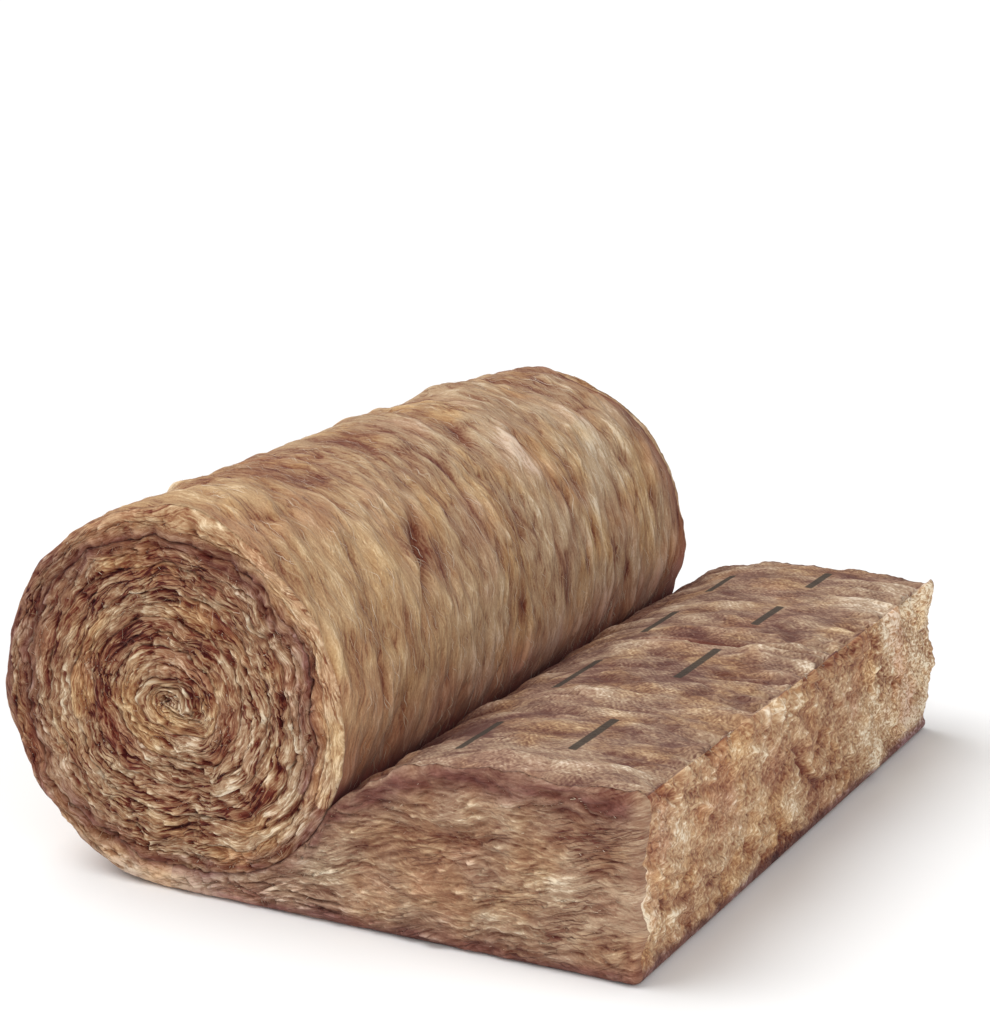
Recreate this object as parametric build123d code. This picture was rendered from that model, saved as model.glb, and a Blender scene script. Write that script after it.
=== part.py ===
"""A partly unrolled roll of glass mineral wool, as it lies on a level floor.

The object is one continuous mat. Its outer end lies flat at its full thickness and ends in a square
knife cut. Towards the roll the mat is pressed thinner, passes under the roll and winds up over it, turn
on turn, to a core without a hole. Each turn shows on both ends of the roll as a soft rounded bead, with
a spiral groove between one turn and the next, and the mat's long edges are rounded in the same way.

The frame has +X from the roll towards the cut end, +Y along the roll's axis and +Z up. The origin is on
the floor, in the middle of the part's footprint. Lengths are millimetres and angles are degrees.
"""

from build123d import *
import math
import os

# The mat: its width, its full thickness, and the soft rounding of its two long edges
mat_width = 1200.0
mat_thickness = 260.0
edge_round = 12.0

# The roll: its outer radius, the thickness of a pressed turn, and how far round the innermost turn goes
roll_radius = 272.0
turn_thickness = 38.0
core_angle = 250.0

# The tail: its reach from the roll's axis, where the roll meets it, and how soon it is thick again
tail_reach = 711.0
nip_angle = 24.0
recovery_length = 241.0

# How far the cutters stand clear of the faces that they cut
clearance = 5.0

# The roll's axis in the section, and the nip, where the roll's surface meets the top of the tail
axis_x = (roll_radius - tail_reach) / 2
axis_height = roll_radius
cut_end_x = axis_x + tail_reach
nip_sine = math.sin(math.radians(nip_angle))
nip_cosine = math.cos(math.radians(nip_angle))
nip_x = axis_x + roll_radius * nip_cosine
nip_height = axis_height - roll_radius * nip_sine

# Below the nip each turn steps in by its own thickness, on an arc about this second centre
step_offset = turn_thickness / (1 - nip_sine)
step_x = axis_x + step_offset * nip_cosine
step_height = axis_height - step_offset * nip_sine

# As many turns as leave room for the round bead inside the last step
turn_count = 1 + int((roll_radius - step_offset - edge_round) / turn_thickness)


def floor_line(start_x):
    """The underside of the mat, from start_x to below the roll's axis."""
    return Line((start_x, 0), (axis_x, 0))


def round_the_axis(radius, sweep):
    """An arc about the roll's axis that starts at its lowest point and goes up past the roll's left side."""
    return CenterArc((axis_x, axis_height), radius, -90, -sweep)


def tail_top(start_x):
    """The top of the tail: level from start_x, then falling on the shoulder's arc to the nip."""
    recovery_x = nip_x + recovery_length
    rise = mat_thickness - nip_height
    shoulder_radius = (recovery_length**2 + rise**2) / (2 * rise)
    shoulder_turn = math.degrees(math.asin(recovery_length / shoulder_radius))
    level = Line((start_x, mat_thickness), (recovery_x, mat_thickness))
    shoulder = CenterArc((recovery_x, mat_thickness - shoulder_radius), shoulder_radius, 90, shoulder_turn)
    return [level, shoulder]


def seam():
    """The seam between the turns, from the nip inwards: a step in, a flat and an arc for each turn."""
    pieces = []
    for turn in range(turn_count):
        outer = roll_radius - turn * turn_thickness
        inner = outer - turn_thickness
        at_core = turn == turn_count - 1
        step = CenterArc((step_x, step_height), outer - step_offset, -nip_angle, nip_angle - 90)
        flat = Line((step_x, axis_height - inner), (axis_x, axis_height - inner))
        pieces += [step, flat, round_the_axis(inner, core_angle if at_core else 270 + nip_angle)]
    return pieces


def joined(pieces):
    """The curves of the section as one wire in the plane of the mat's front edge."""
    return Plane.XZ.offset(mat_width / 2) * Wire([edge for piece in pieces for edge in piece.edges()])


def rolled_outline(start_x):
    """The mat's outer side, from start_x along the floor and up over the roll to the nip."""
    return [floor_line(start_x), round_the_axis(roll_radius, 270 + nip_angle)]


def mat_body():
    """The mat with square edges: its section, run to its width."""
    cut_end = Line((cut_end_x, mat_thickness), (cut_end_x, 0))
    outline = tail_top(cut_end_x) + rolled_outline(cut_end_x) + [cut_end]
    section = make_face(Wire([edge for piece in outline for edge in piece.edges()]))
    return extrude(Plane.XZ * section, mat_width / 2, both=True)


def across(path, place):
    """The plane across a path at a place along it, with its local Y pointing out of the mat."""
    outward = Vector(0, -1, 0)
    return Plane(origin=path @ place, x_dir=outward.cross(path % place), z_dir=path % place)


def groove_profile(plane):
    """The space between two beads, each rounded by two flats that meet on its quarter circle."""
    mid_round = edge_round * (1 - math.sqrt(0.5))
    side = [(0, -edge_round), (mid_round, -mid_round), (edge_round, 0), (edge_round, clearance)]
    with BuildSketch(plane) as profile:
        with BuildLine():
            Polyline(side + [(-x, y) for x, y in reversed(side)])
        make_face()
    return profile.sketch


def groove_along(path):
    """The cutter that rounds the mat's edge, or leaves a groove between two turns, along a path."""
    return sweep(groove_profile(across(path, 0)), path=path)


def groove_end(path):
    """The groove's end, half a turn about the point where the seam runs out in the core."""
    end = across(path, 1)
    half = split(groove_profile(end), bisect_by=Plane(origin=end.origin, z_dir=end.x_dir))
    return revolve(half, axis=Axis(end.origin, (0, -1, 0)), revolution_arc=-180)


def edge_cutters():
    """The cutters for the mat's front edge: on the top of the tail, and on the floor, roll and seam."""
    past_end_x = cut_end_x + clearance
    top_edge = joined(tail_top(past_end_x))
    rolled_edge = joined(rolled_outline(past_end_x) + seam())
    return [groove_along(top_edge), groove_along(rolled_edge), groove_end(rolled_edge)]


def wool_mat():
    """The finished mat, with the same edge at the front and at the back of the roll."""
    mat = mat_body()
    for cutter in edge_cutters():
        mat -= cutter
        mat -= cutter.mirror(Plane.XZ)
    return mat


os.makedirs("parts", exist_ok=True)
export_step(wool_mat(), "parts/wool_mat.step")
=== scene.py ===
"""The looks of a partly unrolled roll of brown glass mineral wool.

The part is one mat. Its thick tail lies flat and ends in a knife cut, and the rest is wound up to a core.
Four kinds of surface show: the wound skin of the roll, the skin of the tail with its cut end, the two long
edges of the mat, which are the tail's sides and the spirals on the roll's ends, and the flat underside.
Each is a fine grid of points that is displaced by seeded noise, laid along the mat, so that folds, tufts
and layers of fibre follow the wool as it was wound. Loose fibres lie on top as thin ribbons.

Everything is in metres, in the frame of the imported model: +X from the roll to the cut end, +Y along the
roll's axis, +Z up.
"""

import itertools
import logging
import math
from dataclasses import dataclass, field
from enum import Enum

import bpy
import numpy as np
from mathutils import Matrix, Vector

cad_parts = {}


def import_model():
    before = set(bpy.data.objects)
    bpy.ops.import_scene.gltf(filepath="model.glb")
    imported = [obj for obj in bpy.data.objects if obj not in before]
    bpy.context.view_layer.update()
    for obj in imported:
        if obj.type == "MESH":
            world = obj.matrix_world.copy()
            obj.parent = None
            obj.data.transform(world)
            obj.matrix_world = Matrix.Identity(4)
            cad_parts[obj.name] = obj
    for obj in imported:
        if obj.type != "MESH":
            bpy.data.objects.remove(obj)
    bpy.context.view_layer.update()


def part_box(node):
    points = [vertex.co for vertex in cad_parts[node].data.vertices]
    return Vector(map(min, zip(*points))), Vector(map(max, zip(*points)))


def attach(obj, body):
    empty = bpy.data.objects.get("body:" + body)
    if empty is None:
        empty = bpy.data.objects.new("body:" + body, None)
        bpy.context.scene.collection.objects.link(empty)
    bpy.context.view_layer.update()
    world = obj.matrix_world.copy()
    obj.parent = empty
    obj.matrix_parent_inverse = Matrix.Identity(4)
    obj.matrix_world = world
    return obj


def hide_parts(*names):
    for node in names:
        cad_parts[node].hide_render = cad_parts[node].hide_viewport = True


Array = np.ndarray
Triple = tuple[float, float, float]
Colour = Triple
Socket = bpy.types.NodeSocket
Material = bpy.types.Material
Object = bpy.types.Object
Value = Array | float
Cues = dict[str, Array]

NODE = "wool_mat"
BODY = "root"

log = logging.getLogger("insulation_roll")


def smooth_step(value: Array, low: float, high: float) -> Array:
    """Rises from 0 at low to 1 at high with no corner."""
    share = np.clip((value - low) / (high - low), 0.0, 1.0)
    return share * share * (3.0 - 2.0 * share)


def bump(value: Array, centre: float, width: float) -> Array:
    """A bell that is 1 at the centre and has faded by twice the width."""
    return np.exp(-(((value - centre) / width) ** 2))


def unit(value: Array) -> Array:
    """The value, kept from 0 to 1."""
    return np.clip(value, 0.0, 1.0)


def stacked(*layers: Array) -> Array:
    """Several arrays as the components of one array of vectors."""
    return np.stack(np.broadcast_arrays(*layers), axis=-1).astype(np.float32)


@dataclass(frozen=True)
class Fade:
    """A soft change from nothing at one place to its full amount at another."""

    start: float
    end: float
    amount: float = 1.0

    def at(self, value: Array) -> Array:
        """The amount at each value."""
        return self.amount * smooth_step(value, self.start, self.end)


@dataclass(frozen=True)
class Band:
    """A soft stripe that has its full amount in the middle and has faded by twice its width."""

    middle: float
    width: float
    amount: float = 1.0

    def at(self, value: Array) -> Array:
        """The amount at each value."""
        return self.amount * bump(value, self.middle, self.width)


class Noise:
    """Seeded gradient noise, worked out for many points at once.

    The shifts keep one layer, or one direction of a push, from repeating another.
    """

    CELLS = 256
    SPAN = 1.5
    LAYER_SHIFT = 7.3
    PUFF_SHIFT = 3.7
    PUFF_SPAN = 1.6
    PUFF_TOP = 1.4
    WARP_SHIFT = 11.1

    def __init__(self, seed: int) -> None:
        """Shuffles the lattice.

        Args:
            seed: the number that fixes the pattern.
        """
        source = np.random.default_rng(seed)
        order = source.permutation(self.CELLS)
        arrows = source.normal(size=(self.CELLS, 3)).astype(np.float32)
        self._order = np.concatenate([order, order])
        self._arrows = arrows / np.linalg.norm(arrows, axis=1, keepdims=True)

    def plain(self, points: Array) -> Array:
        """One layer of noise.

        Args:
            points: vectors, in units of the size of a lump.

        Returns:
            A number from about -1 to 1 for each vector.
        """
        floor = np.floor(points)
        inside = (points - floor).astype(np.float32)
        cell = floor.astype(np.int64) % self.CELLS
        fade = inside**3 * (inside * (inside * 6.0 - 15.0) + 10.0)
        total = np.zeros(points.shape[:-1], np.float32)
        for corner in itertools.product((0, 1), repeat=3):
            index = self._order[cell[..., 0] + corner[0]] + cell[..., 1] + corner[1]
            index = self._order[self._order[index] + cell[..., 2] + corner[2]]
            weight = np.prod(np.where(corner, fade, 1.0 - fade), axis=-1)
            reach = inside - np.array(corner, np.float32)
            total += weight * np.einsum("...k,...k->...", self._arrows[index], reach)
        return total * self.SPAN

    def layered(self, points: Array, layers: int = 3, gain: float = 0.5) -> Array:
        """Layers of noise, each twice as fine as the one before.

        Args:
            points: vectors, in units of the largest lumps.
            layers: how many layers there are.
            gain: the share of its height that each finer layer keeps.

        Returns:
            A number from about -1 to 1 for each vector.
        """
        heights = gain ** np.arange(layers)
        scaled = (h * self.plain(points * 2.0**k + self.LAYER_SHIFT * k) for k, h in enumerate(heights))
        return sum(scaled) / math.sqrt(float(np.sum(heights**2)))

    def puffs(self, points: Array, layers: int = 3, gain: float = 0.5) -> Array:
        """Rounded tufts with sharp creases between them.

        Args:
            points: vectors, in units of the largest tufts.
            layers: how many layers there are.
            gain: the share of its height that each finer layer keeps.

        Returns:
            A number from 0 in a crease to about 1 on a tuft.
        """
        heights = gain ** np.arange(layers)
        scaled = (
            high * np.abs(self.plain(points * 2.0**k + self.PUFF_SHIFT * k)) for k, high in enumerate(heights)
        )
        return np.clip(self.PUFF_SPAN * sum(scaled) / float(np.sum(heights)), 0.0, self.PUFF_TOP)

    def warped(self, points: Array, strength: float, size: float = 2.0) -> Array:
        """Points that are pushed about by noise, which makes straight layers crimp."""
        shifts = [self.plain(points / size + self.WARP_SHIFT * (k + 1)) for k in range(3)]
        return points + strength * stacked(*shifts)


@dataclass(frozen=True)
class Streaks:
    """One named pattern of noise, with the size of its lumps along one way and across it, in metres.

    The slice is the part of the noise that it reads, so that no two patterns are alike, and the crimp is how
    strongly its lumps are pushed about.
    """

    along: float
    across: float
    slice: float
    layers: int = 2
    gain: float = 0.5
    crimp: float = 0.0

    def read(self, noise: Noise, along: Array, across: Value = 0.0, part: Value = 0.0) -> Array:
        """Reads the pattern, from about -1 to 1. The part is added to the slice."""
        place = stacked(along / self.along, across / self.across, self.slice + part)
        return noise.layered(noise.warped(place, self.crimp) if self.crimp else place, self.layers, self.gain)


class Form(Enum):
    """The patterns that a layer of relief can have."""

    SWELL = "a soft rise and fall"
    PUFF = "round tufts with sharp creases between them"
    CRACK = "thin splits that come and go"
    PIT = "deep hollows here and there"
    TUFT = "raised tufts here and there"


LAYER_WARP = 2.4
LAYER_GAIN = 0.55
PUFF_GAIN = 0.6
PUFF_MIDDLE = 0.42
CRACK_PATCH = 0.45
CRACK_SHIFT = 17.0
CRACK_SHOWN = Fade(-0.15, 0.35)
CRACK_LINE = Band(0.0, 0.085)
SPOT = Fade(0.25, 0.85)
SPOT_MIDDLE = 0.1
RELIEF_SLICE = 5.37


@dataclass(frozen=True)
class Layer:
    """One layer of relief.

    Its lumps have a size along the mat and one across it, in metres. The height is how far they move the
    surface, and the shade is how much they lighten it: it paints shade into the hollows and highlight onto
    the crests, besides the wool's own paler and darker patches. The crimp is how strongly they are pushed
    about. The lean is how far a lump moves across the mat for each metre along it.
    """

    form: Form
    along: float
    across: float
    height: float
    shade: float
    crimp: float = 0.5
    octaves: int = 2
    lean: float = 0.0

    def pattern(self, noise: Noise, along: Array, across: Array, cut: float) -> Array:
        """The layer's pattern before its height and shade.

        Args:
            noise: the noise to draw on.
            along: distances along the mat.
            across: distances across it.
            cut: which slice of the noise is used, so that no two layers are alike.

        Returns:
            Numbers about 0, up to about 1 either way.
        """
        place = stacked(along / self.along, (across + self.lean * along) / self.across, cut)
        place = noise.warped(place, self.crimp, LAYER_WARP) if self.crimp else place
        if self.form is Form.PUFF:
            return noise.puffs(place, self.octaves, PUFF_GAIN) - PUFF_MIDDLE
        if self.form is Form.CRACK:
            shown = CRACK_SHOWN.at(noise.plain(place * CRACK_PATCH + CRACK_SHIFT))
            return SPOT_MIDDLE - shown * CRACK_LINE.at(noise.plain(place))
        value = noise.layered(place, self.octaves, LAYER_GAIN)
        if self.form is Form.PIT:
            return SPOT_MIDDLE - SPOT.at(value)
        return SPOT.at(value) - SPOT_MIDDLE if self.form is Form.TUFT else value


@dataclass(frozen=True)
class Relief:
    """Layers that add up to the surface of one kind of wool."""

    layers: tuple[Layer, ...]

    def read(self, noise: Noise, along: Array, across: Array, cut: float = 0.0) -> tuple[Array, Array]:
        """Adds the layers up.

        Args:
            noise: the noise to draw on.
            along: distances along the mat.
            across: distances across it.
            cut: which part of the noise is used.

        Returns:
            How far the surface stands out, and how light it is, with 0.5 in the middle; the lightness holds
            painted shade in the hollows and painted highlight on the crests.
        """
        height, light = 0.0, 0.5
        for number, layer in enumerate(self.layers):
            value = layer.pattern(noise, along, across, cut + RELIEF_SLICE * number)
            height = height + layer.height * value
            light = light + layer.shade * value
        return height, light


@dataclass(frozen=True)
class Section:
    """The mat's section across the roll's axis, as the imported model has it."""

    axis_x: float
    axis_z: float
    cut_x: float
    half_width: float
    thickness: float = 0.260
    turn: float = 0.038
    nip_angle: float = math.radians(24.0)
    recovery: float = 0.241
    turns: int = 6
    edge: float = 0.014

    @classmethod
    def from_frame(cls) -> "Section":
        """Reads the roll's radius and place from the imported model's box."""
        low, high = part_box(NODE)
        radius = high.z / 2
        return cls(axis_x=low.x + radius, axis_z=radius, cut_x=high.x, half_width=high.y)

    @property
    def radius(self) -> float:
        """The roll's outer radius."""
        return self.axis_z

    @property
    def nip(self) -> tuple[float, float]:
        """Where the roll's surface meets the top of the tail."""
        return (
            self.axis_x + self.radius * math.cos(self.nip_angle),
            self.axis_z - self.radius * math.sin(self.nip_angle),
        )

    @property
    def step(self) -> float:
        """How far the centre of the steps between turns is from the roll's axis."""
        return self.turn / (1.0 - math.sin(self.nip_angle))

    @property
    def step_centre(self) -> tuple[float, float]:
        """The centre of the arcs on which each turn steps in below the nip."""
        return (
            self.axis_x + self.step * math.cos(self.nip_angle),
            self.axis_z - self.step * math.sin(self.nip_angle),
        )

    def tail_height(self, x: Array) -> Array:
        """The mat's thickness over the floor.

        Args:
            x: places between the roll's axis and the cut end.

        Returns:
            The height of the tail's top, or under the roll, of the first seam.
        """
        nip_x, nip_z = self.nip
        centre_x, centre_z = self.step_centre
        rise = self.thickness - nip_z
        shoulder = (self.recovery**2 + rise**2) / (2.0 * rise)
        fall = np.clip(nip_x + self.recovery - x, 0.0, self.recovery)
        top = self.thickness - shoulder + np.sqrt(shoulder**2 - fall**2)
        bend = self.radius - self.step
        along = np.clip(x - centre_x, 0.0, bend)
        under = centre_z - np.sqrt(np.maximum(bend**2 - along**2, 0.0))
        return np.where(x >= nip_x, top, np.where(x >= centre_x, under, self.turn))

    def arc(self, centre: tuple[float, float], radius: float, angles: Array) -> Array:
        """Points on an arc in the section, as pairs of x and z."""
        return np.stack([centre[0] + radius * np.cos(angles), centre[1] + radius * np.sin(angles)], axis=-1)

    def lap(self, number: int, spacing: float) -> tuple[Array, Array]:
        """The two edges of one turn: its step in, its flat below the axis, and its arc round the axis.

        Args:
            number: which turn, 0 for the outermost, which has its arc alone. Past the last is the core.
            spacing: the distance between stations.

        Returns:
            The turn's outer edge and its inner edge, as pairs of x and z at the same stations.
        """
        axis = (self.axis_x, self.axis_z)
        outer = self.radius - number * self.turn
        core = number >= self.turns
        inner = 0.0 if core else outer - self.turn
        sweep = 1.5 * math.pi + self.nip_angle
        count = max(int(outer * sweep / spacing), 24)
        angles = -0.5 * math.pi - np.linspace(0.0, sweep, count)
        arcs = self.arc(axis, outer, angles), self.arc(axis, inner, angles)
        if number == 0:
            return arcs
        bend = outer + self.turn - self.step
        turned = 0.5 * math.pi - self.nip_angle
        angles = -self.nip_angle - np.linspace(0.0, turned, max(int(bend * turned / spacing), 6) + 1)[1:]
        run = max(int((self.step_centre[0] - self.axis_x) / spacing), 3)
        xs = np.linspace(self.step_centre[0], self.axis_x, run + 1)[1:-1]
        steps = [self.arc(self.step_centre, reach, angles) for reach in (bend, bend - self.turn)]
        flats = [np.stack([xs, np.full_like(xs, self.axis_z - r)], axis=-1) for r in (outer, inner)]
        if core:
            slide = np.linspace(outer, 0.0, len(angles))
            start = -self.nip_angle
            straight = (axis[0] + slide * math.cos(start), axis[1] + slide * math.sin(start))
            steps[1] = np.stack(straight, axis=-1)
            flats[1] = np.tile(np.array(axis), (len(xs), 1))
        return tuple(np.concatenate([steps[k], flats[k], arcs[k]]) for k in (0, 1))

    def rounded_rows(self, count: int, edge_rows: int = 4) -> tuple[Array, Array]:
        """How rows are spread across the mat's thickness.

        Args:
            count: rows between the two rounded edges.
            edge_rows: rows on each rounded edge.

        Returns:
            Two numbers a row: a length to add, and the share of what is left between the roundings.
        """
        curl = self.edge * (1.0 - np.cos(np.linspace(0.0, 0.5 * math.pi, edge_rows + 1)))[:-1]
        share = np.linspace(0.0, 1.0, count)
        lengths = np.concatenate([curl, np.full(count, self.edge), 2.0 * self.edge - curl[::-1]])
        shares = np.concatenate([np.zeros(edge_rows), share, np.ones(edge_rows)])
        return lengths, shares

    def sag(self, nearness: Array) -> Array:
        """How deep a rounded edge has dropped; nearness is 0 where it starts and 1 at the very edge."""
        return self.edge * (1.0 - np.sqrt(np.maximum(1.0 - np.clip(nearness, 0.0, 1.0) ** 2, 0.0)))


@dataclass
class Sheet:
    """A grid of points, rows across the fibres and columns along them, with what its material reads."""

    name: str
    points: Array
    flow: Array
    cues: Cues = field(default_factory=dict)

    def normals(self, outward: float = 1.0) -> Array:
        """Unit vectors off the sheet.

        Args:
            outward: 1 or -1, which side is the outside.

        Returns:
            One unit vector for each point.
        """
        across = np.gradient(self.points, axis=0)
        along = np.gradient(self.points, axis=1)
        normal = np.cross(along, across) * outward
        return normal / np.maximum(np.linalg.norm(normal, axis=-1, keepdims=True), 1e-9)

    def build(self, outward: float = 1.0) -> Object:
        """Makes the sheet's mesh.

        Args:
            outward: 1 or -1, which side is the outside.

        Returns:
            The object, linked to the scene and smooth shaded.
        """
        rows, columns = self.points.shape[:2]
        index = np.arange(rows * columns).reshape(rows, columns)
        corners = [index[:-1, :-1], index[:-1, 1:], index[1:, 1:], index[1:, :-1]]
        if outward < 0:
            corners.reverse()
        quads = np.stack([corner.ravel() for corner in corners], axis=-1)
        piece = mesh_object(self.name, self.points.reshape(-1, 3), quads)
        write_vectors(piece, "flow", self.flow.reshape(-1, 3))
        for name, values in self.cues.items():
            write_numbers(piece, name, values.ravel())
        return piece


def mesh_object(name: str, points: Array, quads: Array) -> Object:
    """A smooth mesh of quads.

    Args:
        name: the object's name.
        points: its vertices.
        quads: four vertex numbers a face.

    Returns:
        The object, linked to the scene.
    """
    mesh = bpy.data.meshes.new(name)
    mesh.vertices.add(len(points))
    mesh.vertices.foreach_set("co", np.ascontiguousarray(points, np.float32).ravel())
    mesh.loops.add(quads.size)
    mesh.loops.foreach_set("vertex_index", np.ascontiguousarray(quads, np.int32).ravel())
    mesh.polygons.add(len(quads))
    mesh.polygons.foreach_set("loop_start", np.arange(0, quads.size, 4, dtype=np.int32))
    mesh.polygons.foreach_set("use_smooth", np.ones(len(quads), bool))
    mesh.update(calc_edges=True)
    mesh.validate()
    piece = bpy.data.objects.new(name, mesh)
    bpy.context.scene.collection.objects.link(piece)
    return piece


def write_vectors(piece: Object, name: str, values: Array) -> None:
    """Stores a vector on each vertex of a piece."""
    layer = piece.data.attributes.new(name, "FLOAT_VECTOR", "POINT")
    layer.data.foreach_set("vector", np.ascontiguousarray(values, np.float32).ravel())


def write_numbers(piece: Object, name: str, values: Array) -> None:
    """Stores a number on each vertex of a piece."""
    layer = piece.data.attributes.new(name, "FLOAT", "POINT")
    layer.data.foreach_set("value", np.ascontiguousarray(values, np.float32))


def hand_over(piece: Object, material: Material) -> Object:
    """Dresses a piece and ties it to the part's body and material slot."""
    piece.data.materials.append(material)
    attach(piece, BODY)
    triangles = sum(len(face.vertices) - 2 for face in piece.data.polygons)
    log.info("%s: %d triangles", piece.name, triangles)
    return piece


class Graph:
    """A material's node tree, built from short calls.

    The mix node has its share and its two colours at the numbers given, and its mixed colour at the last.
    """

    MIX_INPUTS = (0, 6, 7)
    MIX_OUTPUT = 2
    SPECULAR = 0.1
    SHEEN_ROUGHNESS = 0.6

    def __init__(self, name: str) -> None:
        """Starts an empty material.

        Args:
            name: the material's name.
        """
        self.material = bpy.data.materials.new(name)
        self.material.use_nodes = True
        self.tree = self.material.node_tree
        self.tree.nodes.clear()

    def node(self, kind: str, inputs: dict | None = None, **settings: object) -> bpy.types.Node:
        """Adds a node.

        Args:
            kind: the node's type.
            inputs: what its inputs hold or are linked to, by name or number.
            settings: the node's own properties.

        Returns:
            The node.
        """
        made = self.tree.nodes.new(kind)
        for name, value in settings.items():
            setattr(made, name, value)
        for key, value in (inputs or {}).items():
            if isinstance(value, Socket):
                self.tree.links.new(value, made.inputs[key])
            else:
                made.inputs[key].default_value = value
        return made

    def cue(self, name: str) -> Socket:
        """A number that is stored on the vertices."""
        return self.node("ShaderNodeAttribute", attribute_name=name).outputs["Fac"]

    def place(self, name: str = "flow") -> Socket:
        """A vector that is stored on the vertices."""
        return self.node("ShaderNodeAttribute", attribute_name=name).outputs["Vector"]

    def math(self, operation: str, *values: object, clamp: bool = False) -> Socket:
        """A sum of one, two or three numbers."""
        inputs = dict(enumerate(values))
        return self.node("ShaderNodeMath", inputs, operation=operation, use_clamp=clamp).outputs[0]

    def vector(self, operation: str, *values: object) -> Socket:
        """A sum of vectors."""
        return self.node("ShaderNodeVectorMath", dict(enumerate(values)), operation=operation).outputs[0]

    def noise(
        self, place: Socket, scale: float, detail: float = 3.0, rough: float = 0.5, colour: bool = False
    ) -> Socket:
        """A noise texture with so many lumps a unit and so many finer layers, from 0 to 1."""
        inputs = {"Vector": place, "Scale": scale, "Detail": detail, "Roughness": rough}
        return self.node("ShaderNodeTexNoise", inputs).outputs["Color" if colour else "Fac"]

    def spread(self, value: Socket, low: float, high: float) -> Socket:
        """Maps low to 0 and high to 1 with soft ends."""
        inputs = {"Value": value, "From Min": low, "From Max": high}
        return self.node("ShaderNodeMapRange", inputs, interpolation_type="SMOOTHSTEP").outputs[0]

    def blend(self, share: object, first: object, second: object, way: str = "MIX") -> Socket:
        """Mixes two colours.

        Args:
            share: how much of the second there is.
            first: the colour, or what it is linked to.
            second: the other colour, or what it is linked to.
            way: how they are mixed.

        Returns:
            The mixed colour.
        """
        solid = (value if isinstance(value, Socket) else (*value, 1.0) for value in (first, second))
        inputs = dict(zip(self.MIX_INPUTS, (share, *solid)))
        settings = {"data_type": "RGBA", "blend_type": way, "clamp_factor": True}
        return self.node("ShaderNodeMix", inputs, **settings).outputs[self.MIX_OUTPUT]

    def mix(self, share: Socket, first: Socket, second: Socket) -> Socket:
        """Goes from the first number to the second as the share goes from 0 to 1."""
        gap = self.math("SUBTRACT", second, first)
        return self.math("MULTIPLY_ADD", gap, share, first)

    def ramp(self, value: Socket, stops: list[tuple[float, Colour]]) -> Socket:
        """A run of colours.

        Args:
            value: where along the run to read.
            stops: places from 0 to 1, each with its colour.

        Returns:
            The colour.
        """
        made = self.node("ShaderNodeValToRGB", {"Fac": value})
        elements = made.color_ramp.elements
        while len(elements) < len(stops):
            elements.new(0.5)
        for element, (place, colour) in zip(elements, stops):
            element.position = place
            element.color = (*colour, 1.0)
        return made.outputs["Color"]

    def finish(self, colour: Socket, normal: Socket | None, roughness: float, sheen: float) -> Material:
        """Joins the colour and the bump to a surface.

        Args:
            colour: the base colour.
            normal: the bumped normal, where there is one.
            roughness: the surface's roughness.
            sheen: how much light the loose fibres catch at a flat angle.

        Returns:
            The finished material.
        """
        inputs = {"Base Color": colour, "Roughness": roughness, "Sheen Weight": sheen}
        surface = self.node("ShaderNodeBsdfPrincipled", inputs)
        surface.inputs["Specular IOR Level"].default_value = self.SPECULAR
        surface.inputs["Sheen Roughness"].default_value = self.SHEEN_ROUGHNESS
        if normal is not None:
            self.tree.links.new(normal, surface.inputs["Normal"])
        self.node("ShaderNodeOutputMaterial", {"Surface": surface.outputs[0]})
        return self.material


@dataclass(frozen=True)
class Palette:
    """The wool's colours, from its deepest creases to its palest fibres.

    The skin and the warm and cool patches are tints that the wool's own colour is multiplied by. The deep
    colour is painted shade, laid into the nip, the seams between turns and the crease dents.
    """

    # painted shade of the nip, the seams between turns and the crease dents
    deep: Colour = (0.095, 0.014, 0.009)
    pit: Colour = (0.095, 0.014, 0.009)
    shade: Colour = (0.190, 0.068, 0.038)
    body: Colour = (0.370, 0.228, 0.130)
    tuft: Colour = (0.510, 0.360, 0.222)
    pale: Colour = (0.740, 0.610, 0.450)
    skin: Colour = (0.620, 0.380, 0.370)
    gold: Colour = (1.060, 0.920, 0.680)
    mauve: Colour = (0.920, 0.800, 0.820)
    ink: Colour = (0.040, 0.029, 0.020)


ROLL_PALETTE = Palette(deep=(0.210, 0.036, 0.026), skin=(0.620, 0.365, 0.345))
TAIL_PALETTE = Palette(
    skin=(0.600, 0.380, 0.380),
    deep=(0.170, 0.034, 0.025),
    pit=(0.120, 0.048, 0.036),
    shade=(0.190, 0.100, 0.070),
    body=(0.330, 0.212, 0.138),
    tuft=(0.490, 0.362, 0.252),
    pale=(0.760, 0.650, 0.520),
)
EDGE_PALETTE = Palette(
    skin=(0.520, 0.350, 0.430),
    deep=(0.070, 0.007, 0.005),
    pit=(0.070, 0.007, 0.005),
    shade=(0.175, 0.042, 0.023),
    body=(0.350, 0.190, 0.102),
    tuft=(0.560, 0.395, 0.250),
    pale=(0.880, 0.740, 0.550),
    mauve=(0.980, 0.820, 0.800),
)
SIDE_PALETTE = Palette(
    skin=(0.500, 0.320, 0.380),
    pit=(0.110, 0.026, 0.020),
    shade=(0.200, 0.084, 0.053),
    body=(0.335, 0.200, 0.126),
    tuft=(0.500, 0.350, 0.232),
    pale=(0.840, 0.710, 0.530),
    gold=(1.050, 0.950, 0.800),
    mauve=(0.860, 0.700, 0.700),
)
CUT_PALETTE = Palette(
    skin=(0.400, 0.290, 0.420),
    pit=(0.140, 0.035, 0.022),
    shade=(0.250, 0.098, 0.054),
    body=(0.435, 0.250, 0.134),
    tuft=(0.620, 0.430, 0.262),
    pale=(0.920, 0.800, 0.620),
    gold=(1.040, 0.920, 0.740),
    mauve=(0.860, 0.700, 0.700),
)


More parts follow.
